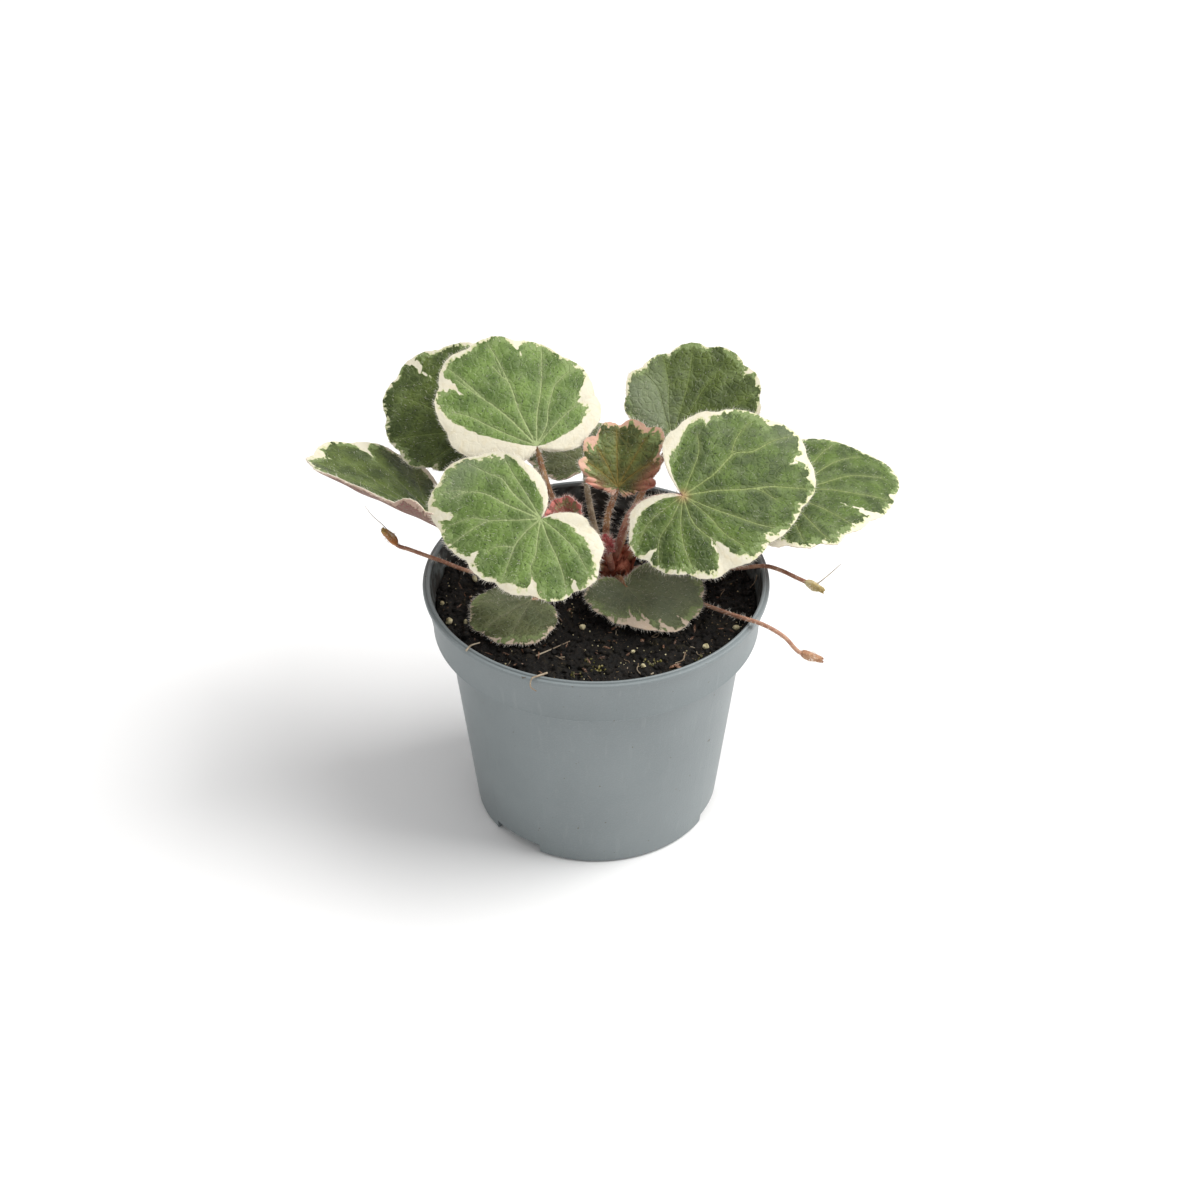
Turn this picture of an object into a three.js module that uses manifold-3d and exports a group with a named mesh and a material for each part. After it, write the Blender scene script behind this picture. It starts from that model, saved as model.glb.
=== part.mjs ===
// A young variegated strawberry saxifrage in a small nursery pot, life size.
// Millimetres, +Z up. The origin is the centre of the pot's underside, and the front is at -Y.
import * as THREE from 'three';
import { mergeVertices } from 'three/addons/utils/BufferGeometryUtils.js';
import Module from 'manifold-3d';

const wasm = await Module();
wasm.setup();

const GAP = 0.3; // between pieces that touch

// The pot is a plain thin-walled cup: a tapered body, a wider collar and a small rounded lip.
const POT = {
  height: 70,
  rimRadius: 45,
  collarHeight: 14,
  collarTopRadius: 44.2,
  collarFootRadius: 42.2,
  bodyTopRadius: 38.9,
  baseRadius: 32.2,
  wall: 1.2,
  floor: 1.8,
  lip: 1.8,
  edge: 0.5,
  sides: 60,
};
const NOTCH = { headings: [109, 229, 343], width: 15, height: 2.8, innerRadius: 29.5 };

// The soil fills the pot to a little under the lip, with a lumpy top.
const SOIL = { level: 62.6, lump: 0.8, sides: 48, rings: 6 };
const LUMP_WAVES = [[0.31, 0, 1.3], [0.17, -0.38, 0.6]]; // radians per mm along X and Y, and phase

// The crown is the short woody stock that every stalk and runner grows from.
const CROWN = { x: 4, y: 10, radius: 5.5, domeCentre: 64.5, foot: 52, footRadius: 3.6, sides: 20, rows: 5 };

// Each leaf is one blade on one stalk.
const BLADE = { thickness: 0.8, rings: [0.4, 0.75, 1], stepsPerLobe: 4, foldRounding: 2 };
const STALK = { radius: 0.9, sides: 8, steps: 12 };

// hub: where the blade sits on its stalk. tilt and lean: how far the blade's normal leans from
// upright, and toward which heading. heading: the midrib's, seen from above. Headings run in
// degrees from +X toward +Y. bend: curvature along and across the midrib, per mm. fold: slope of
// a V fold along it. curl: curvature of the edge further than curlFrom to the midrib's left.
// lobes: degrees from the midrib and mm from the hub of each tip round the edge. notch: depth of
// the scallops between the tips. via: points on the stalk between the crown and the hub.
const LEAVES = {
  leaf_top: {
    hub: [-15.2, 14, 101.3], tilt: 40, lean: -80, heading: 100, bend: [-0.004, -0.004],
    lobes: [[-150, 1.5], [-122, 2.5], [-97, 10.5], [-67, 19.5], [-37, 25], [-8, 29], [14, 32.5],
      [38, 33], [61, 28], [86, 20.5], [111, 10.5], [150, 1.5]],
    via: [[-5.5, 11, 75], [-11.2, 13.4, 85], [-13.6, 14.2, 93]],
  },
  leaf_front_left: {
    hub: [-13.8, -12, 96.8], tilt: 28, lean: -95, heading: 215, bend: [-0.005, -0.005],
    lobes: [[-150, 1.5], [-124, 11.5], [-94, 23.5], [-70, 29.5], [-45, 29.5], [-17, 24], [10, 21.5],
      [36, 21], [67, 22], [96, 21.5], [124, 17], [155, 9.5], [170, 3.5]],
    via: [[-1.8, 1, 74], [-8, -6, 85], [-12, -9.8, 92.5]],
  },
  leaf_front_right: {
    hub: [21.9, -4, 98.3], tilt: 40, lean: -85, heading: -30, bend: [-0.006, -0.006],
    lobes: [[-165, 2], [-142, 12.5], [-108, 19], [-79, 20], [-46, 22], [-16, 24], [11, 28.5],
      [33, 35], [57, 35.5], [81, 29], [104, 23], [134, 14.5], [152, 2.5]],
    via: [[6.9, 6.4, 80], [9.5, 4.6, 88], [15, 0.6, 94.5]],
  },
  leaf_back_right: {
    hub: [19.7, 24, 96.5], tilt: 38, lean: -90, heading: 75, bend: [0, 0.002], fold: 0.1,
    lobes: [[-150, 1.5], [-118, 6.5], [-82, 13], [-56, 23.5], [-36, 28], [-13, 29], [9, 27],
      [30, 23], [52, 20.5], [76, 14.5], [100, 7.5], [150, 1.5]],
    via: [[8.5, 15, 77], [14, 20.5, 87], [18.4, 23.4, 93.5]],
  },
  leaf_back_left: {
    hub: [-29.9, 29, 95.7], tilt: 36, lean: -100, heading: 140, bend: [-0.003, -0.003],
    lobes: [[-150, 3], [-122, 10], [-95, 17], [-72, 23], [-46, 26.5], [-15, 30], [10, 29],
      [32, 25.5], [56, 21], [78, 14.5], [105, 10], [150, 2]],
    via: [[-5, 16, 73], [-18, 24.5, 81], [-27, 28.5, 91]],
  },
  leaf_left: {
    hub: [-40.8, 7, 83.4], tilt: 30, lean: 34, heading: 176, bend: [0, 0.008],
    curl: 0.03, curlFrom: 10,
    lobes: [[-150, 5.5], [-119, 9.5], [-88, 14.5], [-66, 26], [-44, 33], [-21, 37.5], [2, 37],
      [20, 34], [38, 22.5], [64, 19], [90, 16], [118, 12], [150, 5.5]],
    via: [[-6, 8, 69.5], [-22, 6.5, 73.5], [-35, 6.6, 79.8]],
  },
  leaf_right: {
    hub: [48.1, 12, 87.7], tilt: 10, lean: -60, heading: -5, bend: [-0.008, -0.004],
    lobes: [[-152, 7], [-130, 14], [-101, 18], [-67, 19], [-42, 20], [-16, 22], [8, 28],
      [38, 38.5], [66, 30.5], [93, 22], [122, 14], [150, 6]],
    via: [[13, 12.5, 71], [28, 14, 77.5], [42, 12.6, 83]],
  },
  leaf_behind: {
    hub: [-2.9, 26, 87], tilt: 4, lean: -90, heading: 95, bend: [-0.004, -0.004],
    lobes: [[-152, 3.5], [-120, 9], [-88, 12.5], [-56, 16], [-26, 20], [4, 21.5], [34, 20.5],
      [64, 17], [94, 13], [124, 9], [152, 3.5]],
    via: [[0, 14.5, 73.5], [-2.2, 21, 81.5]],
  },
  leaf_young: {
    hub: [5.6, 10, 91.3], tilt: 46, lean: -90, heading: 90, bend: [0, 0], fold: 0.45, notch: 1,
    lobes: [[-150, 3], [-118, 4.5], [-92, 9.5], [-66, 12], [-40, 18], [-13, 18], [10, 17],
      [36, 14.5], [62, 11.5], [86, 8], [112, 3.5], [150, 2.5]],
    via: [[2.6, 9.2, 76], [2.9, 9.4, 82], [4.4, 9.9, 87.5]],
  },
  leaf_low_left: {
    hub: [-16.6, -5.2, 66.2], tilt: 3, lean: -90, heading: 215, bend: [-0.006, -0.006], notch: 0.8,
    lobes: [[-140, 1.5], [-99, 4.5], [-69, 11], [-38, 15.5], [-6, 17.5], [26, 17], [60, 15.5],
      [93, 10.5], [138, 3]],
    via: [[-8, 1.4, 66.4]],
  },
  leaf_low_right: {
    hub: [8, -3.6, 69], tilt: 12, lean: -80, heading: -55, bend: [-0.004, -0.004], notch: 0.8,
    lobes: [[-170, 4.5], [-140, 9.5], [-108, 11.5], [-80, 11.5], [-50, 12], [-20, 14], [10, 18.5],
      [38, 20], [65, 20], [97, 17], [132, 5.5], [160, 3]],
    via: [[6.8, 0, 68.4]],
  },
  bud_left: {
    hub: [-7.4, 4.8, 85], tilt: 62, lean: -100, heading: 90, bend: [0, 0], fold: 0.8, notch: 0.5,
    lobes: [[-130, 2], [-95, 4], [-60, 5.5], [-20, 6], [20, 6], [60, 5.5], [95, 4], [130, 2]],
    via: [[-0.8, 7.2, 72.2], [-5, 5.4, 78.5]],
  },
};

// The bud in the middle is a rolled young leaf, still shut.
const SHUT_BUD = { foot: [4, 4.4, 70], centre: [2.6, 4.4, 77.2], width: 5, height: 6.4 };

// The runners arch out of the pot, just clear of its lip. The last point is the bud's centre.
const RUNNER = { radius: 0.6, sides: 8, stepsPerPoint: 3, budWidth: 2.8, budLength: 6.2, budSides: 10 };
const RUNNERS = {
  runner_left: [[-12, 9.6, 66], [-30.8, 4.6, 67.8], [-40.7, 5.3, 71.4], [-44.6, 6.9, 71.9],
    [-49.1, 8.4, 72.8], [-51.7, 8.8, 73.6], [-53.7, 9.3, 76]],
  runner_right: [[16, 10.4, 66], [28, 6.4, 68.2], [37.4, 3.8, 70], [43.8, 2.8, 71.4],
    [47.6, 0.5, 71.8], [51.3, -2.8, 72], [54, -5, 72], [56, -6.7, 72]],
  runner_front: [[11, 6.5, 64.5], [20, 0.6, 64.1], [26.9, -4.2, 64.6], [30.3, -8.7, 66.4],
    [34.2, -15.2, 69.4], [37.8, -19.5, 71.2], [40.7, -21.1, 71.3], [44, -22.6, 70.6],
    [47.8, -23, 67.9], [51.6, -23, 63.2], [54.7, -23, 61.9]],
};

// Colours
const PLASTIC = new THREE.MeshStandardMaterial({ color: 0x8b9496, roughness: 0.55 });
const PEAT = new THREE.MeshStandardMaterial({ color: 0x1d1814, roughness: 0.95 });
const BARK = new THREE.MeshStandardMaterial({ color: 0x5d3a2a, roughness: 0.8 });
const LEAF_GREEN = new THREE.MeshStandardMaterial({ color: 0x5f7f48, roughness: 0.6 });
const LEAF_PINK = new THREE.MeshStandardMaterial({ color: 0xb5636a, roughness: 0.7 });
const RUNNER_BROWN = new THREE.MeshStandardMaterial({ color: 0x96695a, roughness: 0.7 });

const vector = (point) => new THREE.Vector3(...point);

// Turns a closed geometry into a solid that can be joined or cut.
function solidFrom(geometry) {
  const bare = geometry.clone();
  bare.deleteAttribute('normal');
  bare.deleteAttribute('uv');
  const merged = mergeVertices(bare);
  return new wasm.Manifold(new wasm.Mesh({
    numProp: 3,
    vertProperties: merged.attributes.position.array,
    triVerts: new Uint32Array(merged.index.array),
  }));
}

function geometryFrom(solid) {
  const { vertProperties, triVerts } = solid.getMesh();
  const geometry = new THREE.BufferGeometry();
  geometry.setAttribute('position', new THREE.BufferAttribute(vertProperties, 3));
  geometry.setIndex(new THREE.BufferAttribute(triVerts, 1));
  return geometry;
}

// A round tube along a smooth route through the points.
function tube(points, radius, sides, steps) {
  const circle = new THREE.Shape();
  for (let side = 0; side < sides; side += 1) {
    const turn = (side / sides) * 2 * Math.PI;
    const at = [radius * Math.cos(turn), radius * Math.sin(turn)];
    if (side === 0) circle.moveTo(...at);
    else circle.lineTo(...at);
  }
  const extrudePath = new THREE.CatmullRomCurve3(points);
  return new THREE.ExtrudeGeometry(circle, { extrudePath, steps, bevelEnabled: false });
}

// Turned about +Z from [radius, height] points that start and end on the axis.
function turned(profile, sides) {
  const points = profile.map(([radius, height]) => new THREE.Vector2(radius, height));
  return new THREE.LatheGeometry(points, sides).rotateX(Math.PI / 2);
}

function pot() {
  const ledge = POT.height - POT.collarHeight;
  const body = turned([
    [0, 0],
    [POT.baseRadius - POT.edge, 0],
    [POT.baseRadius, POT.edge],
    [POT.bodyTopRadius, ledge],
    [POT.collarFootRadius, ledge],
    [POT.collarTopRadius, POT.height - POT.lip],
    [POT.rimRadius, POT.height - POT.lip + POT.edge],
    [POT.rimRadius, POT.height - POT.edge],
    [POT.rimRadius - POT.edge, POT.height],
    [POT.rimRadius - POT.wall - POT.edge, POT.height],
    [POT.collarTopRadius - POT.wall, POT.height - POT.lip],
    [POT.collarFootRadius - POT.wall, ledge + POT.wall],
    [POT.bodyTopRadius - POT.wall, ledge + POT.wall],
    [POT.baseRadius - POT.wall, POT.floor],
    [0, POT.floor],
  ], POT.sides);
  let solid = solidFrom(body);
  for (const heading of NOTCH.headings) {
    const cutter = new THREE.BoxGeometry(2 * (POT.baseRadius - NOTCH.innerRadius), NOTCH.width, 2 * NOTCH.height);
    cutter.translate(POT.baseRadius, 0, 0);
    cutter.rotateZ(THREE.MathUtils.degToRad(heading));
    solid = solid.subtract(solidFrom(cutter));
  }
  return geometryFrom(solid);
}

// Height of the soil's lumps, level at the pot's wall.
function soilLump(x, y, edge) {
  let height = 0;
  for (const [alongX, alongY, phase] of LUMP_WAVES) height += Math.sin(alongX * x + alongY * y + phase);
  return (SOIL.lump * edge * height) / LUMP_WAVES.length;
}

function soil() {
  const ledge = POT.height - POT.collarHeight + POT.wall;
  const clear = POT.wall + GAP;
  const rise = (SOIL.level - ledge) / POT.collarHeight;
  const topRadius = THREE.MathUtils.lerp(POT.collarFootRadius, POT.collarTopRadius, rise) - clear;
  const profile = [
    [0, POT.floor + GAP],
    [POT.baseRadius - clear, POT.floor + GAP],
    [POT.bodyTopRadius - clear, ledge + GAP],
    [POT.collarFootRadius - clear, ledge + GAP],
  ];
  for (let ring = SOIL.rings; ring >= 0; ring -= 1) {
    profile.push([(topRadius * ring) / SOIL.rings, SOIL.level]);
  }
  const geometry = turned(profile, SOIL.sides);
  const position = geometry.attributes.position;
  for (let index = 0; index < position.count; index += 1) {
    if (position.getZ(index) < SOIL.level - GAP) continue;
    const [x, y] = [position.getX(index), position.getY(index)];
    const edge = 1 - (Math.hypot(x, y) / topRadius) ** 4;
    position.setZ(index, SOIL.level + soilLump(x, y, edge));
  }
  const hole = turned([
    [0, CROWN.foot - GAP],
    [CROWN.radius + GAP, CROWN.foot - GAP],
    [CROWN.radius + GAP, POT.height],
    [0, POT.height],
  ], CROWN.sides).translate(CROWN.x, CROWN.y, 0);
  return geometryFrom(solidFrom(geometry).subtract(solidFrom(hole)));
}

function crown() {
  const profile = [[0, CROWN.foot], [CROWN.footRadius, CROWN.foot]];
  for (let row = 0; row < CROWN.rows; row += 1) {
    const rise = (row / CROWN.rows) * (Math.PI / 2);
    profile.push([CROWN.radius * Math.cos(rise), CROWN.domeCentre + CROWN.radius * Math.sin(rise)]);
  }
  profile.push([0, CROWN.domeCentre + CROWN.radius]);
  return turned(profile, CROWN.sides).translate(CROWN.x, CROWN.y, 0);
}

// Where a stalk or runner toward the point starts, a gap off the crown's dome.
function footToward(point) {
  const centre = new THREE.Vector3(CROWN.x, CROWN.y, CROWN.domeCentre);
  const direction = point.clone().sub(centre).normalize();
  return centre.addScaledVector(direction, CROWN.radius + GAP);
}

// The leaf's reach from its hub at each angle: smooth through the lobe tips, less the scallops.
function reach(leaf, lobe, part) {
  const { lobes, notch = 1.2 } = leaf;
  const slope = (at) => {
    const [before, after] = [lobes[Math.max(at - 1, 0)], lobes[Math.min(at + 1, lobes.length - 1)]];
    return (after[1] - before[1]) / (after[0] - before[0]);
  };
  const [from, to] = [lobes[lobe], lobes[lobe + 1]];
  const width = to[0] - from[0];
  const [square, cube] = [part ** 2, part ** 3];
  const smooth = (2 * cube - 3 * square + 1) * from[1] + (cube - 2 * square + part) * width * slope(lobe)
    + (3 * square - 2 * cube) * to[1] + (cube - square) * width * slope(lobe + 1);
  const scalloped = lobe > 0 && lobe < lobes.length - 2;
  return scalloped ? smooth - notch * (1 - Math.abs(Math.cos(Math.PI * part))) : smooth;
}

// The blade's own axes: along the midrib, to its left, and its normal.
function bladeAxes({ tilt, lean, heading }) {
  const [lift, toward, along] = [tilt, lean, heading].map(THREE.MathUtils.degToRad);
  const normal = new THREE.Vector3(Math.cos(toward), Math.sin(toward), 0).multiplyScalar(Math.sin(lift));
  normal.z = Math.cos(lift);
  const midrib = new THREE.Vector3(Math.cos(along), Math.sin(along), 0).projectOnPlane(normal).normalize();
  return { midrib, left: normal.clone().cross(midrib), normal };
}

function bladeHeight({ bend, fold = 0, curl = 0, curlFrom = 0 }, x, y) {
  const vee = fold * (Math.hypot(y, BLADE.foldRounding) - BLADE.foldRounding);
  return bend[0] * x * x + bend[1] * y * y + vee + curl * Math.max(0, y - curlFrom) ** 2;
}

// A fan of rings about the hub, split into the same triangles on both faces.
function blade(leaf) {
  const { midrib, left, normal } = bladeAxes(leaf);
  const angles = [];
  for (let lobe = 0; lobe < leaf.lobes.length - 1; lobe += 1) {
    const [start, end] = [leaf.lobes[lobe][0], leaf.lobes[lobe + 1][0]];
    for (let step = 0; step < BLADE.stepsPerLobe; step += 1) {
      const part = step / BLADE.stepsPerLobe;
      angles.push([THREE.MathUtils.lerp(start, end, part), reach(leaf, lobe, part)]);
    }
  }
  angles.push(leaf.lobes.at(-1));

  const positions = [];
  const place = (x, y, side) => {
    const height = bladeHeight(leaf, x, y) + (side * BLADE.thickness) / 2;
    const point = vector(leaf.hub).addScaledVector(midrib, x).addScaledVector(left, y);
    positions.push(...point.addScaledVector(normal, height).toArray());
  };
  for (const side of [1, -1]) {
    place(0, 0, side);
    for (const ring of BLADE.rings) {
      for (const [angle, radius] of angles) {
        const turn = THREE.MathUtils.degToRad(angle);
        place(ring * radius * Math.cos(turn), ring * radius * Math.sin(turn), side);
      }
    }
  }

  const across = angles.length;
  const perFace = 1 + BLADE.rings.length * across;
  const at = (face, ring, step) => face * perFace + (ring < 0 ? 0 : 1 + ring * across + step);
  const index = [];
  const quad = (a, b, c, d) => index.push(a, b, c, a, c, d);
  const last = BLADE.rings.length - 1;
  for (let step = 0; step < across - 1; step += 1) {
    index.push(at(0, -1), at(0, 0, step), at(0, 0, step + 1));
    index.push(at(1, -1), at(1, 0, step + 1), at(1, 0, step));
    for (let ring = 0; ring < last; ring += 1) {
      const corners = (face) => [at(face, ring, step), at(face, ring + 1, step),
        at(face, ring + 1, step + 1), at(face, ring, step + 1)];
      quad(...corners(0));
      const [a, b, c, d] = corners(1);
      index.push(a, c, b, a, d, c);
    }
    quad(at(0, last, step), at(1, last, step), at(1, last, step + 1), at(0, last, step + 1));
  }
  for (let ring = -1; ring < last; ring += 1) {
    quad(at(0, ring, 0), at(1, ring, 0), at(1, ring + 1, 0), at(0, ring + 1, 0));
    const end = across - 1;
    quad(at(0, ring, end), at(0, ring + 1, end), at(1, ring + 1, end), at(1, ring, end));
  }
  const geometry = new THREE.BufferGeometry();
  geometry.setAttribute('position', new THREE.Float32BufferAttribute(positions, 3));
  geometry.setIndex(index);
  return geometry;
}

function leafGeometry(leaf) {
  const via = leaf.via.map(vector);
  const route = [footToward(via[0]), ...via, vector(leaf.hub)];
  const stalk = tube(route, STALK.radius, STALK.sides, STALK.steps);
  return geometryFrom(solidFrom(blade(leaf)).add(solidFrom(stalk)));
}

// An egg shape from one point to the other, for the shut buds.
function bud(from, to, width, sides) {
  const axis = to.clone().sub(from);
  const egg = new THREE.SphereGeometry(0.5, sides, sides / 2).scale(width, axis.length(), width);
  const turn = new THREE.Quaternion().setFromUnitVectors(new THREE.Vector3(0, 1, 0), axis.clone().normalize());
  return egg.applyQuaternion(turn).translate(...from.clone().lerp(to, 0.5).toArray());
}

function shutBud() {
  const [foot, centre] = [vector(SHUT_BUD.foot), vector(SHUT_BUD.centre)];
  const half = new THREE.Vector3(0, 0, SHUT_BUD.height / 2);
  const egg = bud(centre.clone().sub(half), centre.clone().add(half), SHUT_BUD.width, RUNNER.budSides);
  const stalk = tube([footToward(foot), foot, centre], STALK.radius, STALK.sides, RUNNER.stepsPerPoint);
  return geometryFrom(solidFrom(egg).add(solidFrom(stalk)));
}

function runner(via) {
  const points = via.map(vector);
  const route = [footToward(points[0]), ...points];
  const stem = tube(route, RUNNER.radius, RUNNER.sides, RUNNER.stepsPerPoint * route.length);
  const centre = route.at(-1);
  const half = centre.clone().sub(route.at(-2)).setLength(RUNNER.budLength / 2);
  const tip = bud(centre.clone().sub(half), centre.clone().add(half), RUNNER.budWidth, RUNNER.budSides);
  return geometryFrom(solidFrom(stem).add(solidFrom(tip)));
}

const plant = new THREE.Group();

function add(name, geometry, material) {
  const mesh = new THREE.Mesh(geometry, material);
  mesh.name = name;
  plant.add(mesh);
}

add('pot', pot(), PLASTIC);
add('soil', soil(), PEAT);
add('crown', crown(), BARK);
for (const [name, leaf] of Object.entries(LEAVES)) {
  add(name, leafGeometry(leaf), name.startsWith('bud') ? LEAF_PINK : LEAF_GREEN);
}
add('bud_centre', shutBud(), LEAF_PINK);
for (const [name, via] of Object.entries(RUNNERS)) add(name, runner(via), RUNNER_BROWN);

export default plant;
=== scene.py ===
# Looks of the potted strawberry saxifrage: pot, soil, crown, leaves, buds and runners, in metres.
import math

import bpy
import numpy as np
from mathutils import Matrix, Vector
from mathutils.bvhtree import BVHTree


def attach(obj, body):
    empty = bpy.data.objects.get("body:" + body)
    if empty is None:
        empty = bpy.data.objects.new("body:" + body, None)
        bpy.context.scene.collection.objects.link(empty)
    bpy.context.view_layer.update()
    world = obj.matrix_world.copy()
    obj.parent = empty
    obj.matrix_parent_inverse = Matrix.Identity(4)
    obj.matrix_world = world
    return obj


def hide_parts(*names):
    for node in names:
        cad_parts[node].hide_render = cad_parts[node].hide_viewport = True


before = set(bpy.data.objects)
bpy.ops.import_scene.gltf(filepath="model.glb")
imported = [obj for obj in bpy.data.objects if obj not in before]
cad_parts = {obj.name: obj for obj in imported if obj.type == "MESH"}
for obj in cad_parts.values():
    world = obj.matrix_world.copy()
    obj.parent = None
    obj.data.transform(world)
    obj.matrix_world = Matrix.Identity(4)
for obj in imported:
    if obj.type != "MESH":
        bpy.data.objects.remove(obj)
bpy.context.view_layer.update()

# Nursery pot: a thin blue-grey moulded cup with a wider collar, a small rounded lip and three
# slots round its foot. It is drawn up ring by ring from its base, then the slots are cut and its
# edges rounded. The plastic is matt, with a fine grain, rubbed edges and splashes of dry soil.
# The inside of the collar is darkened with painted shade, with dark patches of soil dust over it.
MM = 0.001
POT_HEIGHT = 70
POT_RADII = {"base": 32.2, "body top": 38.9, "collar foot": 42.2, "collar top": 44.2, "rim": 45}
POT_LEDGE = 56
POT_LIP = 1.8
POT_WALL = 1.2
POT_FLOOR = 1.8
POT_STEPS_ROUND = 144
POT_ROUNDING = 0.3
COLLAR_LEAN = 0.1724
COLLAR_MIDDLE = (0.0316, 0.0321)
# Heights, in metres, where the painted shade and dust inside the collar fade in and out.
COLLAR_DUST_AND_SHADE_FOOT = (0.057, 0.058)
COLLAR_DUST_AND_SHADE_TOP = (0.0686, 0.0695)
SLOT_HEADINGS = (109, 229, 343)
SLOT_WIDTH = 15
SLOT_HEIGHT = 2.8
SLOT_INNER = 29.5
SLOT_OUTER = POT_RADII["base"] + 2


class Tone:
    """A value, colour or vector in a material, worked with as in plain sums."""

    def __init__(self, tree, socket=None):
        self.tree = tree
        self.socket = socket

    def node(self, kind, settings=None, values=None, output=0):
        """A new node: its settings first, then the values or links of its sockets."""
        made = self.tree.nodes.new("ShaderNode" + kind)
        for name, setting in (settings or {}).items():
            setattr(made, name, setting)
        for key, value in (values or {}).items():
            if isinstance(value, Tone):
                self.tree.links.new(value.socket, made.inputs[key])
            else:
                made.inputs[key].default_value = value
        return Tone(self.tree, made.outputs[output])

    def math(self, operation, *terms):
        return self.node("Math", {"operation": operation}, dict(enumerate(terms)))

    def __add__(self, other):
        return self.math("ADD", self, other)

    def __radd__(self, other):
        return self.math("ADD", other, self)

    def __sub__(self, other):
        return self.math("SUBTRACT", self, other)

    def __rsub__(self, other):
        return self.math("SUBTRACT", other, self)

    def __mul__(self, other):
        return self.math("MULTIPLY", self, other)

    def __rmul__(self, other):
        return self.math("MULTIPLY", other, self)

    def over(self, low, high):
        """0 where the value is under low, 1 where it is over high, smooth between."""
        settings = {"interpolation_type": "SMOOTHSTEP"}
        return self.node("MapRange", settings, {"Value": self, "From Min": low, "From Max": high})

    def pick(self, colour, other):
        """The colour where this mask is 0, and the other where it is 1."""
        return self.node("Mix", {"data_type": "RGBA"}, {0: self, 6: colour, 7: other}, output=2)

    def noise(self, at, scale, detail=2, roughness=0.5):
        values = {"Vector": at, "Scale": scale, "Detail": detail, "Roughness": roughness}
        return self.node("TexNoise", None, values)

    def stretched(self, scale):
        """This vector with each axis times its share of scale."""
        return self.node("VectorMath", {"operation": "MULTIPLY"}, {0: self, 1: scale})

    def parts(self):
        """This vector's parts along x, y and z."""
        return [self.node("SeparateXYZ", None, {0: self}, axis) for axis in range(3)]


def paint(red, green, blue):
    """A colour given as it looks on a screen, 0 to 255."""
    shares = [part / 255 for part in (red, green, blue)]
    linear = [part / 12.92 if part < 0.04 else ((part + 0.055) / 1.055) ** 2.4 for part in shares]
    return (*linear, 1)


def new_finish(name, **constants):
    """A material, its shader and the tone that its sums start from."""
    material = bpy.data.materials.new(name)
    material.use_nodes = True
    shader = material.node_tree.nodes["Principled BSDF"]
    for socket, value in constants.items():
        shader.inputs[socket.replace("_", " ")].default_value = value
    return material, shader, Tone(material.node_tree)


def wear(material, shader, **tones):
    """Links each tone to the shader's socket of that name."""
    for socket, tone in tones.items():
        material.node_tree.links.new(tone.socket, shader.inputs[socket.replace("_", " ")])
    return material


def relief(tone, height, distance):
    """A normal from a height, which is worth the distance in metres at 1."""
    return tone.node("Bump", None, {"Height": height, "Distance": distance}, output=0)


def place(tone):
    """Where a point of the piece lies, in metres."""
    return tone.node("TexCoord", None, None, output=3)


def clear_selection():
    if bpy.context.mode != "OBJECT":
        bpy.ops.object.mode_set(mode="OBJECT")
    bpy.ops.object.select_all(action="DESELECT")


def finished(name, material, slot, *nodes, smooth=40):
    """Names the active piece, settles it at the origin, dresses it and joins it to the frame."""
    piece = bpy.context.active_object
    if bpy.context.mode != "OBJECT":
        bpy.ops.object.mode_set(mode="OBJECT")
    for modifier in list(piece.modifiers):
        bpy.ops.object.modifier_apply(modifier=modifier.name)
    bpy.ops.object.transform_apply(location=True, rotation=True, scale=True)
    if smooth:
        bpy.ops.object.shade_smooth_by_angle(angle=math.radians(smooth))
    piece.name = name
    piece.data.name = name
    piece.data.materials.clear()
    piece.data.materials.append(material)
    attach(piece, "root")
    if nodes:
        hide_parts(*nodes)


def draw_rings(extrude, profile):
    """Draws the selection on through each radius and height of the profile, in mm."""
    for (radius, height), (next_radius, next_height) in zip(profile, profile[1:]):
        extrude()
        share = next_radius / radius
        centre = (0, 0, height * MM)
        bpy.ops.transform.resize(value=(share, share, 1), center_override=centre)
        bpy.ops.transform.translate(value=(0, 0, (next_height - height) * MM))


def pot_finish():
    """Blue-grey plastic. A radius less its height's lean tells the collar's inside from its outside."""
    material, shader, tone = new_finish("pot_plastic", Specular_IOR_Level=0.5)
    at = place(tone)
    cloud = tone.noise(at, 45, 3)
    grain = tone.noise(at, 2600, 3)
    streak = tone.noise(at.stretched((700, 700, 60)), 1, 3)
    colour = cloud.over(0.3, 0.75).pick(paint(119, 127, 129), paint(126, 134, 136))
    colour = (grain.over(0.4, 0.75) * 0.3).pick(colour, paint(138, 146, 147))
    colour = (streak.over(0.58, 0.75) * 0.2).pick(colour, paint(146, 153, 154))
    specks = tone.noise(at, 700, 1).over(0.77, 0.8)
    colour = specks.pick(colour, paint(92, 86, 76))
    across, along, height = at.parts()
    radius = tone.math("SQRT", across * across + along * along)
    # Inside the collar the wall is darkened with painted shade, and dark soil dust lies over it in patches.
    inside = 1 - (radius - height * COLLAR_LEAN).over(*COLLAR_MIDDLE)
    inside = inside * height.over(*COLLAR_DUST_AND_SHADE_FOOT) * (1 - height.over(*COLLAR_DUST_AND_SHADE_TOP))
    dust_and_shade = inside * tone.noise(at, 260, 5).over(0.3, 0.6)
    colour = dust_and_shade.pick((inside * 0.7).pick(colour, paint(84, 88, 86)), paint(44, 42, 38))
    bump = relief(tone, grain * 0.7 + streak * 0.3, 0.00012)
    rough = 0.38 + grain * 0.12 + dust_and_shade * 0.4
    return wear(material, shader, Base_Color=colour, Roughness=rough, Normal=bump)


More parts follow.
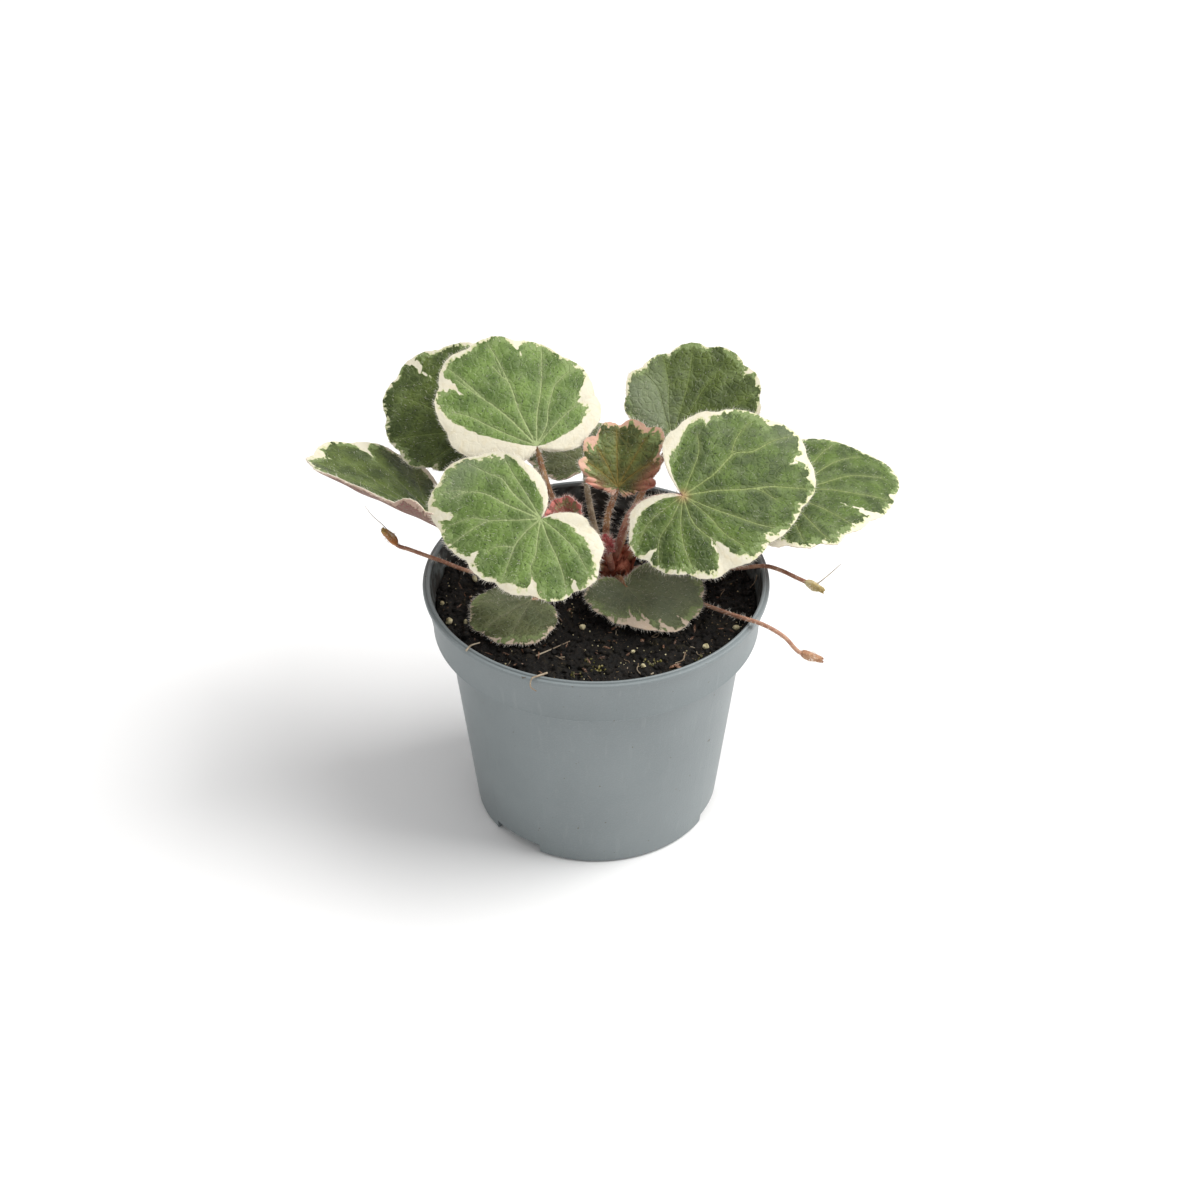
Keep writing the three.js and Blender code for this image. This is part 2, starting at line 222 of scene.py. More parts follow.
clear_selection()
bpy.ops.mesh.primitive_circle_add(
    vertices=POT_STEPS_ROUND,
    radius=(POT_RADII["base"] - 0.6) * MM,
    fill_type="NGON",
)
bpy.ops.object.mode_set(mode="EDIT")
bpy.ops.mesh.select_all(action="SELECT")
draw_rings(bpy.ops.mesh.extrude_region_move, [
    (POT_RADII["base"] - 0.6, 0),
    (POT_RADII["base"] - 0.15, 0.15),
    (POT_RADII["base"], 0.6),
    (POT_RADII["body top"], POT_LEDGE),
    (POT_RADII["collar foot"], POT_LEDGE),
    (POT_RADII["collar foot"] + 0.35, POT_LEDGE + 0.35),
    (POT_RADII["collar foot"] + 0.2, POT_LEDGE + 1),
    (POT_RADII["collar top"], POT_HEIGHT - POT_LIP),
    (POT_RADII["rim"] - 0.1, POT_HEIGHT - POT_LIP + 0.25),
    (POT_RADII["rim"], POT_HEIGHT - 1.1),
    (POT_RADII["rim"] - 0.15, POT_HEIGHT - 0.6),
    (POT_RADII["rim"] - 0.45, POT_HEIGHT - 0.45),
    (POT_RADII["rim"] - 0.95, POT_HEIGHT - 0.5),
    (POT_RADII["rim"] - 1.05, POT_HEIGHT - 0.1),
    (POT_RADII["rim"] - 1.3, POT_HEIGHT),
    (POT_RADII["rim"] - 1.7, POT_HEIGHT - 0.15),
    (POT_RADII["rim"] - 1.9, POT_HEIGHT - 0.6),
    (POT_RADII["collar top"] - POT_WALL, POT_HEIGHT - POT_LIP),
    (POT_RADII["collar foot"] - POT_WALL, POT_LEDGE + POT_WALL),
    (POT_RADII["body top"] - POT_WALL, POT_LEDGE + POT_WALL),
    (POT_RADII["base"] - POT_WALL, POT_FLOOR),
])
bpy.ops.mesh.select_all(action="SELECT")
bpy.ops.mesh.normals_make_consistent(inside=False)
bpy.ops.object.mode_set(mode="OBJECT")
pot = bpy.context.active_object
cutters = []
for heading in SLOT_HEADINGS:
    turn = math.radians(heading)
    middle = (SLOT_INNER + SLOT_OUTER) / 2
    bpy.ops.mesh.primitive_cube_add(
        size=1,
        location=(middle * math.cos(turn) * MM, middle * math.sin(turn) * MM, 0),
        rotation=(0, 0, turn),
        scale=((SLOT_OUTER - SLOT_INNER) * MM, SLOT_WIDTH * MM, 2 * SLOT_HEIGHT * MM),
    )
    cutter = bpy.context.active_object
    cutters.append(cutter)
    cut = pot.modifiers.new("slot", "BOOLEAN")
    cut.object = cutter
    cut.solver = "EXACT"
clear_selection()
bpy.context.view_layer.objects.active = pot
pot.select_set(True)
for modifier in list(pot.modifiers):
    bpy.ops.object.modifier_apply(modifier=modifier.name)
for cutter in cutters:
    bpy.data.objects.remove(cutter)
rounding = pot.modifiers.new("rounding", "BEVEL")
rounding.width = POT_ROUNDING * MM
rounding.segments = 3
rounding.limit_method = "ANGLE"
rounding.angle_limit = math.radians(50)
finished("nursery_pot", pot_finish(), "pot_plastic", "pot")

# Potting soil: damp near-black peat that fills the pot to a little under its lip. The top is a
# fine grid drawn out to a disc and pushed up into lumps and crumbs, and its sides are drawn down
# inside the pot.
SOIL_LEVEL = 62.6
SOIL_LUMP = 0.8
SOIL_CLEAR = 1.5
SOIL_DIVISIONS = 190
SOIL_LEVEL_EDGE = 1.2
COLLAR_FLARE = 2


def soil_top_radius():
    """The soil's reach where it meets the sloping collar, in mm."""
    rise = (SOIL_LEVEL - POT_LEDGE - POT_WALL) / (POT_HEIGHT - POT_LEDGE)
    return POT_RADII["collar foot"] + COLLAR_FLARE * rise - SOIL_CLEAR


def soil_lump(x, y):
    """Height of the soil's broad lumps, in mm, as in the solid."""
    edge = 1 - (np.hypot(x, y) / soil_top_radius()) ** 4
    waves = np.sin(0.31 * x + 1.3) + np.sin(0.17 * x - 0.38 * y + 0.6)
    return SOIL_LUMP * edge * waves / 2


def soil_finish():
    material, shader, tone = new_finish("peat", Specular_IOR_Level=0.3)
    at = place(tone)
    crumb = tone.noise(at, 700, 6, 0.7)
    patch = tone.noise(at, 130, 3)
    cells = tone.node("TexVoronoi", None, {"Vector": at, "Scale": 900}, output=0)
    colour = crumb.over(0.4, 0.75).pick(paint(8, 7, 5), paint(38, 31, 24))
    colour = (patch.over(0.52, 0.7) * crumb.over(0.45, 0.6) * 0.6).pick(colour, paint(52, 48, 24))
    flecks = tone.noise(at, 1500, 1).over(0.72, 0.75)
    colour = flecks.pick(colour, paint(126, 106, 78))
    bump = relief(tone, crumb * 0.8 + cells * 0.4, 0.0012)
    rough = 0.35 + crumb * 0.7
    return wear(material, shader, Base_Color=colour, Roughness=rough, Normal=bump)


def points_of(mesh):
    """The mesh's points, a row for each, in metres."""
    points = np.zeros(len(mesh.vertices) * 3)
    mesh.vertices.foreach_get("co", points)
    return points.reshape(-1, 3)


def lumps(piece, kind, size, strength, group=""):
    """Pushes the piece's points out by a solid texture of that size, in mm, or only the group's."""
    texture = bpy.data.textures.new(kind.lower(), kind)
    texture.noise_scale = size * MM
    if kind == "CLOUDS":
        texture.noise_depth = 3
    push = piece.modifiers.new(kind.lower(), "DISPLACE")
    push.texture = texture
    push.texture_coords = "LOCAL"
    push.strength = strength * MM
    push.mid_level = 0.5
    push.vertex_group = group
    bpy.ops.object.modifier_apply(modifier=push.name)


clear_selection()
bpy.ops.mesh.primitive_grid_add(x_subdivisions=SOIL_DIVISIONS, y_subdivisions=SOIL_DIVISIONS, size=2)
soil = bpy.context.active_object
square_x, square_y, _ = points_of(soil.data).T
disc_x = square_x * np.sqrt(1 - square_y**2 / 2) * soil_top_radius()
disc_y = square_y * np.sqrt(1 - square_x**2 / 2) * soil_top_radius()
disc = np.stack([disc_x, disc_y, SOIL_LEVEL + soil_lump(disc_x, disc_y)], axis=1)
soil.data.vertices.foreach_set("co", (disc * MM).ravel())
soil.data.update()
top = soil.vertex_groups.new(name="top")
edge_share = np.clip((soil_top_radius() - np.hypot(disc_x, disc_y)) / SOIL_LEVEL_EDGE, 0, 1)
for index, share in enumerate(edge_share):
    top.add([index], float(share), "REPLACE")
lumps(soil, "CLOUDS", 5, 1.7, "top")
lumps(soil, "VORONOI", 2.2, 1.3, "top")
lumps(soil, "CLOUDS", 0.9, 0.9, "top")
bpy.ops.object.mode_set(mode="EDIT")
bpy.ops.mesh.select_mode(type="EDGE")
bpy.ops.mesh.select_all(action="DESELECT")
bpy.ops.mesh.select_non_manifold()
draw_rings(bpy.ops.mesh.extrude_edges_move, [
    (soil_top_radius(), SOIL_LEVEL),
    (POT_RADII["collar foot"] - SOIL_CLEAR, POT_LEDGE + SOIL_CLEAR),
    (POT_RADII["body top"] - SOIL_CLEAR, POT_LEDGE + SOIL_CLEAR),
    (POT_RADII["base"] - SOIL_CLEAR, POT_FLOOR + 0.3),
])
bpy.ops.mesh.edge_face_add()
bpy.ops.mesh.select_all(action="SELECT")
bpy.ops.mesh.normals_make_consistent(inside=False)
soil_material = soil_finish()
finished("peat", soil_material, "peat", "soil", smooth=60)
soil_tree = BVHTree.FromObject(soil, bpy.context.evaluated_depsgraph_get())


def soil_height(x, y):
    """The soil's height in mm under a point in mm."""
    hit = soil_tree.ray_cast(Vector((x * MM, y * MM, 0.08)), Vector((0, 0, -1)))[0]
    return hit.z / MM if hit else SOIL_LEVEL


# Crown: the short woody stock in the soil that every stalk and runner grows from. A dome of
# red-brown bark, wrapped in the torn papery feet of old leaves.
CROWN = (4, 10)
CROWN_RADIUS = 5.5
CROWN_DOME = 64.5
CROWN_FOOT = 52
CROWN_TAPER = 0.75
CROWN_SCALES = 46
crown_centre = (CROWN[0] * MM, CROWN[1] * MM, CROWN_DOME * MM)
chance = np.random.default_rng(20)


def take_up(piece):
    """Puts a new piece in the scene, active and alone selected."""
    bpy.context.scene.collection.objects.link(piece)
    clear_selection()
    bpy.context.view_layer.objects.active = piece
    piece.select_set(True)


def scatter(name, pattern, turns, spots, material, slot):
    """One piece of many copies of a pattern piece, each with its own turn and spot in metres."""
    corners = points_of(pattern.data)
    faces = [list(face.vertices) for face in pattern.data.polygons]
    placed = np.einsum("nij,vj->nvi", turns, corners) + spots[:, None, :]
    total = len(spots)
    loops = np.concatenate([np.array(face) for face in faces])
    sizes = np.array([len(face) for face in faces])
    all_loops = (loops[None, :] + np.arange(total)[:, None] * len(corners)).ravel()
    all_sizes = np.tile(sizes, total)
    starts = np.concatenate([[0], np.cumsum(all_sizes)[:-1]])
    mesh = bpy.data.meshes.new(name)
    mesh.vertices.add(total * len(corners))
    mesh.vertices.foreach_set("co", placed.ravel())
    mesh.loops.add(len(all_loops))
    mesh.loops.foreach_set("vertex_index", all_loops.astype(np.int32))
    mesh.polygons.add(len(all_sizes))
    mesh.polygons.foreach_set("loop_start", starts.astype(np.int32))
    mesh.update(calc_edges=True)
    take_up(bpy.data.objects.new(name, mesh))
    finished(name, material, slot, smooth=50)


def unit(ways):
    """Each row at length 1."""
    return ways / np.linalg.norm(ways, axis=1, keepdims=True)


def frames_along(ways):
    """Turns that carry +Z to each way, with a random spin about it."""
    z = unit(ways)
    helper = chance.normal(size=z.shape)
    x = unit(helper - z * np.sum(helper * z, axis=1, keepdims=True))
    return np.stack([x, np.cross(z, x), z], axis=2)


def scale_frames(ways, out):
    """Turns that carry +Z to each way, with a scale's flat face turned out."""
    z = unit(ways)
    flat = unit(np.cross(ways, out))
    return np.stack([flat, np.cross(z, flat), z], axis=2)


def bark_finish():
    material, shader, tone = new_finish("crown_bark", Specular_IOR_Level=0.3)
    at = place(tone)
    patch = tone.noise(at, 500, 4)
    fibre = tone.noise(at.stretched((2600, 2600, 260)), 1, 3)
    colour = patch.over(0.35, 0.65).pick(paint(136, 66, 42), paint(186, 114, 92))
    colour = (fibre.over(0.5, 0.7) * 0.6).pick(colour, paint(186, 134, 108))
    bump = relief(tone, fibre, 0.0004)
    return wear(material, shader, Base_Color=colour, Roughness=0.7 + fibre * 0.2, Normal=bump)


bark = bark_finish()
clear_selection()
bpy.ops.mesh.primitive_uv_sphere_add(
    segments=40,
    ring_count=24,
    radius=CROWN_RADIUS * MM,
    location=crown_centre,
)
bpy.ops.object.mode_set(mode="EDIT")
bpy.ops.mesh.select_all(action="SELECT")
bpy.ops.mesh.bisect(plane_co=crown_centre, plane_no=(0, 0, 1), clear_inner=True, use_fill=False)
bpy.ops.mesh.select_all(action="DESELECT")
bpy.ops.mesh.select_non_manifold()
bpy.ops.mesh.extrude_edges_move()
bpy.ops.transform.resize(value=(CROWN_TAPER, CROWN_TAPER, 1), center_override=crown_centre)
bpy.ops.transform.translate(value=(0, 0, (CROWN_FOOT - CROWN_DOME) * MM))
bpy.ops.mesh.edge_face_add()
bpy.ops.mesh.select_all(action="SELECT")
bpy.ops.mesh.normals_make_consistent(inside=False)
bpy.ops.object.mode_set(mode="OBJECT")
lumps(bpy.context.active_object, "CLOUDS", 1.4, 0.9)
finished("crown_stock", bark, "crown_bark", "crown", smooth=60)

clear_selection()
bpy.ops.mesh.primitive_circle_add(vertices=8, radius=1.1 * MM, fill_type="NGON")
bpy.ops.object.mode_set(mode="EDIT")
bpy.ops.mesh.select_all(action="SELECT")
bpy.ops.transform.resize(value=(1, 0.25, 1))
for rise, width, shift in ((1.2, 1.15, 0.3), (1.3, 0.8, 0.5), (1.2, 0.35, 0.2)):
    bpy.ops.mesh.extrude_region_move()
    bpy.ops.transform.resize(value=(width, 0.9, 1))
    bpy.ops.transform.translate(value=(0, shift * MM, rise * MM))
bpy.ops.object.mode_set(mode="OBJECT")
scale_pattern = bpy.context.active_object
headings = chance.uniform(0, 2 * math.pi, CROWN_SCALES)
lifts = chance.uniform(0.05, 1.1, CROWN_SCALES)
out = np.stack([np.cos(headings), np.sin(headings), np.zeros(CROWN_SCALES)], axis=1)
radius = CROWN_RADIUS * np.cos(lifts) * chance.uniform(0.85, 1, CROWN_SCALES)
spots = np.stack([
    CROWN[0] + radius * np.cos(headings),
    CROWN[1] + radius * np.sin(headings),
    CROWN_DOME - 1.2 + CROWN_RADIUS * np.sin(lifts),
], axis=1) * MM
upward = np.array([[0, 0, 1]]) * chance.uniform(0.5, 1.2, (CROWN_SCALES, 1)) + out * 0.7
# This draw is not used: it keeps every later one where it was when the plant was composed.
chance.normal(size=upward.shape)
turns = scale_frames(upward, out) * chance.uniform(0.6, 1.1, (CROWN_SCALES, 1, 1))
turns *= chance.uniform(0.9, 1.7, (CROWN_SCALES, 1, 1))
scatter("crown_scales", scale_pattern, turns, spots, bark, "crown_bark")

# Leaves: each is one round scalloped blade, 0.6 mm thick, grown on one hairy stalk. A fine grid is
# drawn out to a fan about the point where the stalk joins, bent and quilted between its veins, and
# given its thickness. Hairs stand on the edge, the face and the stalk.
BLADE_THICKNESS = 0.6
STALK_RADIUS = 0.85
EDGE_STEPS = 1500
HAIR_WIDTHS = {"edge": 0.055, "face": 0.03, "stalk": 0.055}


def smooth_route(route, steps):
    """Points of a centripetal curve through the route, in the route's own units."""
    route = [Vector(point) for point in route]
    route = [2 * route[0] - route[1], *route, 2 * route[-1] - route[-2]]
    found = []
    for before, start, end, after in zip(route, route[1:], route[2:], route[3:]):
        gaps = [max((b - a).length, 1e-6) ** 0.5 for a, b in ((before, start), (start, end), (end, after))]
        first = (start - before) / gaps[0] - (end - before) / (gaps[0] + gaps[1]) + (end - start) / gaps[1]
        last = (end - start) / gaps[1] - (after - start) / (gaps[1] + gaps[2]) + (after - end) / gaps[2]
        first *= gaps[1]
        last *= gaps[1]
        for step in range(steps):
            t = step / steps
            found.append(
                start * (2 * t**3 - 3 * t**2 + 1)
                + first * (t**3 - 2 * t**2 + t)
                + end * (3 * t**2 - 2 * t**3)
                + last * (t**3 - t**2)
            )
    found.append(route[-2])
    return found


def crown_foot(toward):
    """Where a stalk or runner toward the point leaves the crown, in mm."""
    centre = Vector((*CROWN, CROWN_DOME))
    return centre + (Vector(toward) - centre).normalized() * (CROWN_RADIUS - 0.2)


def tube(route, radii, sides=10):
    """The active piece becomes a tube along the route, with a radius for each point, in mm."""
    curve = bpy.data.curves.new("tube", "CURVE")
    curve.dimensions = "3D"
    curve.bevel_depth = MM
    curve.bevel_resolution = max(0, sides // 2 - 2)
    curve.use_fill_caps = True
    spline = curve.splines.new("POLY")
    spline.points.add(len(route) - 1)
    for point, position, radius in zip(spline.points, route, radii):
        point.co = (*(position * MM), 1)
        point.radius = radius
    take_up(bpy.data.objects.new("tube", curve))
    bpy.ops.object.convert(target="MESH")
    bpy.ops.object.mode_set(mode="EDIT")
    bpy.ops.mesh.select_all(action="SELECT")
    bpy.ops.mesh.remove_doubles(threshold=0.01 * MM)
    bpy.ops.mesh.normals_make_consistent(inside=False)
    bpy.ops.object.mode_set(mode="OBJECT")
    return bpy.context.active_object


def reach(lobes, notch, angles):
    """The blade's reach from its hub at each angle: smooth through the tips, less the scallops."""
    at = np.array([angle for angle, _ in lobes], float)
    tips = np.array([tip for _, tip in lobes], float)
    count = len(lobes)
    before = np.maximum(np.arange(count) - 1, 0)
    after = np.minimum(np.arange(count) + 1, count - 1)
    slope = (tips[after] - tips[before]) / (at[after] - at[before])
    lobe = np.clip(np.searchsorted(at, angles, side="right") - 1, 0, count - 2)
    width = at[lobe + 1] - at[lobe]
    t = (angles - at[lobe]) / width
    smooth = (2 * t**3 - 3 * t**2 + 1) * tips[lobe] + (t**3 - 2 * t**2 + t) * width * slope[lobe]
    smooth += (3 * t**2 - 2 * t**3) * tips[lobe + 1] + (t**3 - t**2) * width * slope[lobe + 1]
    scalloped = (lobe > 0) & (lobe < count - 2)
    return smooth - np.where(scalloped, notch * (1 - np.abs(np.cos(math.pi * t))), 0)


def blade_axes(tilt, lean, heading):
    lift, toward, along = (math.radians(angle) for angle in (tilt, lean, heading))
    normal = Vector((math.sin(lift) * math.cos(toward), math.sin(lift) * math.sin(toward), math.cos(lift)))
    midrib = Vector((math.cos(along), math.sin(along), 0))
    midrib = (midrib - normal * midrib.dot(normal)).normalized()
    return np.array(midrib), np.array(normal.cross(midrib)), np.array(normal)


def nearest_vein(veins, x, y):
    """The offset to the nearest vein in the blade's plane and its half width there, in mm."""
    best = np.full(x.shape, 99.0)
    offset = np.zeros((3, *x.shape))
    for half, *line in veins:
        line = smooth_route([(*point, 0) for point in line], 4)
        lengths = len(line) - 1
        for step, (start, end) in enumerate(zip(line, line[1:])):
            along_x, along_y = end.x - start.x, end.y - start.y
            square = along_x**2 + along_y**2
            t = np.clip(((x - start.x) * along_x + (y - start.y) * along_y) / square, 0, 1)
            away_x = x - start.x - t * along_x
            away_y = y - start.y - t * along_y
            distance = np.hypot(away_x, away_y)
            closer = distance < best
            best = np.where(closer, distance, best)
            width = half * (1 - 0.7 * (step + t) / lengths)
            for axis, value in enumerate((away_x, away_y, width)):
                offset[axis] = np.where(closer, value, offset[axis])
    return offset, best


def keep(mesh, name, kind, values):
    """Stores a value for each point of the mesh, for the material to read."""
    attribute = mesh.attributes.new(name, kind, "POINT")
    field = "value" if kind == "FLOAT" else "vector"
    attribute.data.foreach_set(field, np.asarray(values, np.float32).ravel())


def leaf_finish(name, deep, green, vein, rim, band, net=0.35):
    """A leaf's finish: green cells, pale veins, a cream edge with ragged inner line, and a painted silver
    sheen where hairs are thick.
    """
    material, shader, tone = new_finish(name, Specular_IOR_Level=0.35)

    def stored(label, output=0):
        return tone.node("Attribute", {"attribute_name": label}, None, output)

    flat = stored("flat", 1)
    ray = stored("ray", 1)
    cream = stored("cream", 2)
    silver_sheen = stored("silver_sheen", 2)
    blush = stored("blush", 2)
    under = stored("under", 2)
    offset = stored("vein", 1)
    far = stored("vein_far", 2)
    across, aside, half = offset.parts()
    away = tone.math("SQRT", across * across + aside * aside)
    away = tone.math("MAXIMUM", away, far - 0.45)

    patch = tone.noise(flat, 0.16, 3)
    cells = tone.noise(flat, 1.3, 3, 0.6)
    fine = tone.noise(flat, 4.2, 2)
    broad_teeth = tone.noise(ray, 1, 2)
    fine_teeth = tone.noise(ray.stretched((3.2, 1.6, 1)), 1, 2)

    def cracks(scale, randomness):
        """The distance to the nearest line of a random net."""
        values = {"Vector": flat, "Scale": scale, "Randomness": randomness}
        return tone.node("TexVoronoi", {"feature": "DISTANCE_TO_EDGE"}, values)

    mesh_veins = cracks(0.5, 0.9)
    small_veins = cracks(1.15, 1.0)

    colour = (patch.over(0.36, 0.66) * 0.75 + fine.over(0.35, 0.65) * 0.2).pick(deep, green)
    colour = (cells.over(0.48, 0.66) * 0.45).pick(colour, deep)
    net_mask = ((1 - mesh_veins.over(0.02, 0.12)) * 0.5 + (1 - small_veins.over(0.02, 0.1)) * 0.4) * net
    colour = net_mask.pick(colour, vein)
    sheen = tone.noise(flat, 0.3, 2).over(0.45, 0.7)
    colour = (sheen * 0.25).pick(colour, paint(122, 136, 92))
    pores = tone.noise(flat, 1.7, 1).over(0.64, 0.69)
    colour = (pores * 0.8).pick(colour, tuple(part * 0.3 for part in deep[:3]) + (1,))
    wobble = (fine - 0.5) * 0.45 + (cells - 0.5) * 0.5
    vein_mask = 1 - (away - half * 0.7 + wobble).over(-0.14, 0.2)
    halo = 1 - away.over(0.1, 1.4)
    colour = (halo * 0.2).pick(colour, vein)
    colour = (vein_mask * 0.7).pick(colour, vein)
    # Painted sheen: where hairs are thick the colour is lightened to a silver grey.
    hair_sheen = silver_sheen * (0.3 + fine * 0.5)
    colour = hair_sheen.pick(colour, paint(132, 142, 116))

    splash = tone.noise(flat, 0.7, 3, 0.6)
    ragged = cream + (broad_teeth - 0.5) * 4.4 + (fine_teeth - 0.5) * 2.6 + (cells - 0.5) * 0.9
    ragged = ragged + (splash - 0.5) * 4.5
    half_pale = (ragged + (patch - 0.5) * 5).over(-1.6, -0.8) * patch.over(0.44, 0.52)
    colour = (half_pale * 0.55).pick(colour, paint(136, 154, 98))
    cream_mask = ragged.over(-0.1, 0.12)
    stain = tone.noise(flat, 0.5, 3).over(0.45, 0.75)
    rim_colour = (stain * 0.35).pick(rim, (rim[0] * 0.9, rim[1] * 0.8, rim[2] * 0.6, 1))
    rim_colour = ((1 - ragged.over(0.05, 0.9)) * 0.7).pick(rim_colour, band)
    colour = cream_mask.pick(colour, rim_colour)
    colour = (blush * 0.85).pick(colour, paint(196, 112, 100))
    back = (cells.over(0.35, 0.7)).pick(paint(140, 90, 88), paint(136, 116, 98))
    back = (cream_mask * 0.7).pick((vein_mask * 0.5).pick(back, paint(176, 128, 116)), paint(196, 164, 146))
    colour = (under * 0.9).pick(colour, back)

    bump_height = cells * 0.5 + fine * 0.3 + (1 - vein_mask) * 0.5 + mesh_veins.over(0, 0.2) * 0.4
    bump = relief(tone, bump_height * (1 - cream_mask * 0.75), 0.0003)
    rough = 0.48 + fine * 0.14 + hair_sheen * 0.1
    return wear(material, shader, Base_Color=colour, Roughness=rough, Normal=bump)


def stalk_finish(name, dark, pale):
    material, shader, tone = new_finish(name, Specular_IOR_Level=0.4)
    at = place(tone)
    patch = tone.noise(at, 260, 3)
    fine = tone.noise(at, 2500, 2)
    colour = patch.over(0.35, 0.68).pick(dark, pale)
    colour = (fine.over(0.5, 0.7) * 0.35).pick(colour, paint(220, 196, 170))
    bump = relief(tone, fine, 0.00015)
    return wear(material, shader, Base_Color=colour, Roughness=0.45 + fine * 0.2, Normal=bump)


def hair_finish(name, colour):
    material, shader, tone = new_finish(name, Specular_IOR_Level=0.5)
    at = place(tone)
    patch = tone.noise(at, 900, 2)
    shade = patch.over(0.3, 0.7).pick(colour, paint(246, 240, 230))
    return wear(material, shader, Base_Color=shade, Roughness=0.35 + patch * 0.2)


white_hair = hair_finish("hair", paint(226, 220, 206))
pink_hair = hair_finish("pink_hair", paint(222, 170, 160))
clear_selection()
bpy.ops.mesh.primitive_cone_add(vertices=3, radius1=1, radius2=0.0, depth=1, location=(0, 0, 0.5))
bpy.ops.object.transform_apply(location=True)
hair_pattern = bpy.context.active_object


def hairs(name, roots, directions, lengths, width, material, slot):
    """Stands a hair of that length at each root, in mm."""
    turns = frames_along(directions)
    widths = np.broadcast_to(width, len(lengths))
    sizes = np.stack([widths, widths, lengths], axis=1)
    scatter(name, hair_pattern, turns * sizes[:, None, :] * MM, roots * MM, material, slot)


def along_stem(route, start, total):
    """Random spots on a stem's middle, the way along it at each and a way out from it."""
    line = np.array(route)
    at = chance.uniform(start, 0.98, total) * (len(line) - 1)
    low = at.astype(int)
    along = line[low + 1] - line[low]
    spots = line[low] + along * (at - low)[:, None]
    along = unit(along)
    return spots, along, unit(np.cross(along, chance.normal(size=(total, 3))))


STALK_TONES = {
    "tan": (paint(152, 104, 74), paint(188, 148, 108)),
    "pink": (paint(156, 96, 82), paint(196, 142, 120)),
    "grey": (paint(136, 122, 100), paint(178, 162, 136)),
}
stalk_materials = {key: stalk_finish("stalk_" + key, *tones) for key, tones in STALK_TONES.items()}


